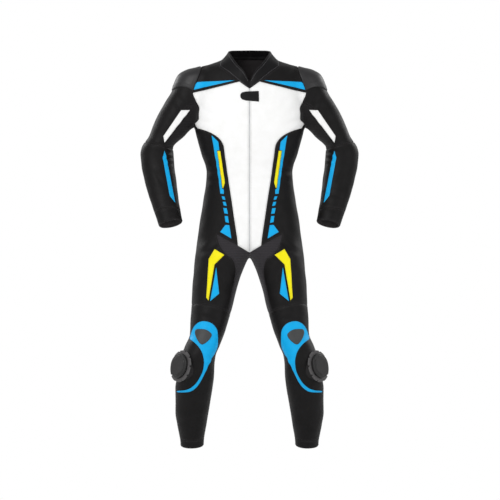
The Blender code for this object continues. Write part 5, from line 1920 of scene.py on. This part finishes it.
def main():
    beside_zip = ZIP_WIDTH / 2 + SEAM
    fronts = front_like(FRONT_SEAM, front_armhole, on_front, (NECK_START, YOKE_FRONT), beside_zip)
    back = front_like(BACK_SEAM, back_armhole, on_back, (180, YOKE_BACK), 0.0)
    other_back = [(grid * (-1, 1, 1))[:, ::-1] for grid in back]
    gusset = gusset_grid(fronts[1][-1], back[1][-1])
    front_sheets = panel("front", fronts, "white")
    panel("back", (*back, *other_back), "white", WHOLE)
    yokes = panel("yoke", [yoke_grid()], "black")
    flanks = panel("side", side_grids(), "black")
    panel("gusset", [gusset], "gusset")

    # The sleeve, with its stretch panel between the upper sleeve's edges.
    cap = 2 * LENS_COLUMN
    rows = ELBOW_RING * shares(66)
    sleeves = panel("upper_sleeve", [sleeve_grid(rows, cap * shares(52) - LENS_COLUMN)], "black")
    lens = (SLEEVE_COLUMNS - cap) * shares(30) + LENS_COLUMN
    panel("sleeve_lens", [sleeve_grid(rows, lens)], "lens")
    rows = ELBOW_RING + (CUFF_RING - ELBOW_RING) * shares(50)
    half = SLEEVE_COLUMNS // 2
    forearms = panel("forearm_front", [sleeve_grid(rows, half * shares(34))], "black")
    panel("forearm_back", [sleeve_grid(rows, half + half * shares(34))], "black")
    rows = CUFF_RING + (len(SLEEVE_RINGS["tilt"]) - CUFF_RING) * shares(9)
    panel("cuff", [sleeve_grid(rows, np.linspace(0, SLEEVE_COLUMNS, 65))], "black")

    rows = ANKLE_RING * shares(92)
    shins = panel("shin", [leg_grid(rows, 180 * shares(42))], "black")
    panel("calf", [leg_grid(rows, 180 + 180 * shares(42))], "black")
    panel("ankle_band", [leg_grid(ANKLE_RING + shares(6), np.linspace(0, 360, 81))], "black")

    # The chest wedge ends where the yoke does, at the armhole's seam.
    hole = armhole(np.linspace(46.5, 62.5, 6)) / MM
    wedge = CHEST_WEDGE[:2] + tuple((x - 0.4, z) for x, _, z in hole.tolist())
    sewn_on = (
        ("chest_wedge", yokes, wedge, "blue"),
        ("sleeve_stripe", sleeves, SLEEVE_STRIPE, "white"),
        ("forearm_stripe", forearms, FOREARM_STRIPE, "blue"),
        ("flank_stripe", flanks, FLANK_STRIPE, "blue"),
        ("flank_bar", flanks, FLANK_BAR, "yellow"),
        ("flank_arrow", flanks, FLANK_ARROW, "blue"),
        ("thigh_bar", flanks, THIGH_BAR, "yellow"),
        ("thigh_wedge", flanks, THIGH_WEDGE, "blue"),
    )
    for name, sheets, outline, finish in sewn_on:
        lay(name, sheets, drawn(outline, 1.5 * MM), SEAM, LAID, finish, LAID_EDGE)
    surround = drawn_round(KNEE_SURROUND, 3 * MM)
    lay("knee_surround", shins, surround, SEAM, LAID, "blue", LAID_EDGE)
    shield = drawn_round(KNEE_SHIELD, 2.5 * MM)
    lay("knee_shield", shins, shield, SEAM * 2 + LAID, SHIELD_WALL, "shield", SHIELD_EDGE)
    tab = drawn(TAB_OUTLINE, 2.0 * MM, 2.5 * MM)
    lay("neck_tab", front_sheets, tab, SEAM * 1.5, TAB_WALL, "trim", TAB_EDGE, 0.0, WHOLE)
    make_dashes(flanks, [drawn(dash, 1.2 * MM) for dash in FLANK_DASHES])
    make_shoulder_cups()
    make_sliders(shins)
    make_collar()
    make_teeth(make_zip(fronts))
    make_stitches()


def area_light(name, place, towards, size, power):
    light = bpy.data.lights.new(name, "AREA")
    light.shape = "DISK"
    light.size = size
    light.energy = power
    made = linked(name, light)
    made.location = place
    made.rotation_euler = (Vector(towards) - Vector(place)).to_track_quat("-Z", "Y").to_euler()


def make_studio():
    """A pale floor, soft light all round, and a level camera in front of the suit."""
    mesh = bpy.data.meshes.new("floor")
    square = ((-1, -1), (1, -1), (1, 1), (-1, 1))
    corners = [(x * FLOOR_HALF, y * FLOOR_HALF, FLOOR_Z) for x, y in square]
    mesh.from_pydata(corners, [], [(0, 1, 2, 3)])
    floor = linked("floor", mesh)
    mesh.materials.append(pale_floor())

    scene = bpy.context.scene
    scene.view_settings.view_transform = "Standard"
    world = bpy.data.worlds.new("white_studio")
    world.use_nodes = True
    # The walls of the studio read white, and light the suit only a little.
    tree = world.node_tree
    seen = node(tree, "ShaderNodeLightPath", "Is Camera Ray")
    strength = node(tree, "ShaderNodeMapRange", Value=seen, To_Min=0.6)
    wire(tree, tree.nodes["Background"], Color=(1, 1, 1, 1), Strength=strength)
    scene.world = world
    area_light("key", (-1.7, -3.0, 1.2), (0, 0, -0.6), 1.8, 48)
    area_light("fill", (2.6, -2.6, -0.1), (0, 0, -0.7), 2.4, 20)
    area_light("rim_left", (2.4, 2.2, 0.8), (0, 0, -0.6), 1.4, 25)
    area_light("rim_right", (-2.4, 2.2, 0.8), (0, 0, -0.6), 1.4, 25)

    camera = bpy.data.cameras.new("camera")
    camera.type = "ORTHO"
    camera.ortho_scale = CAMERA_SPAN
    made = linked("camera", camera)
    made.location = CAMERA_PLACE
    made.rotation_euler = (math.radians(90), 0, 0)
    scene.camera = made


main()
make_studio()
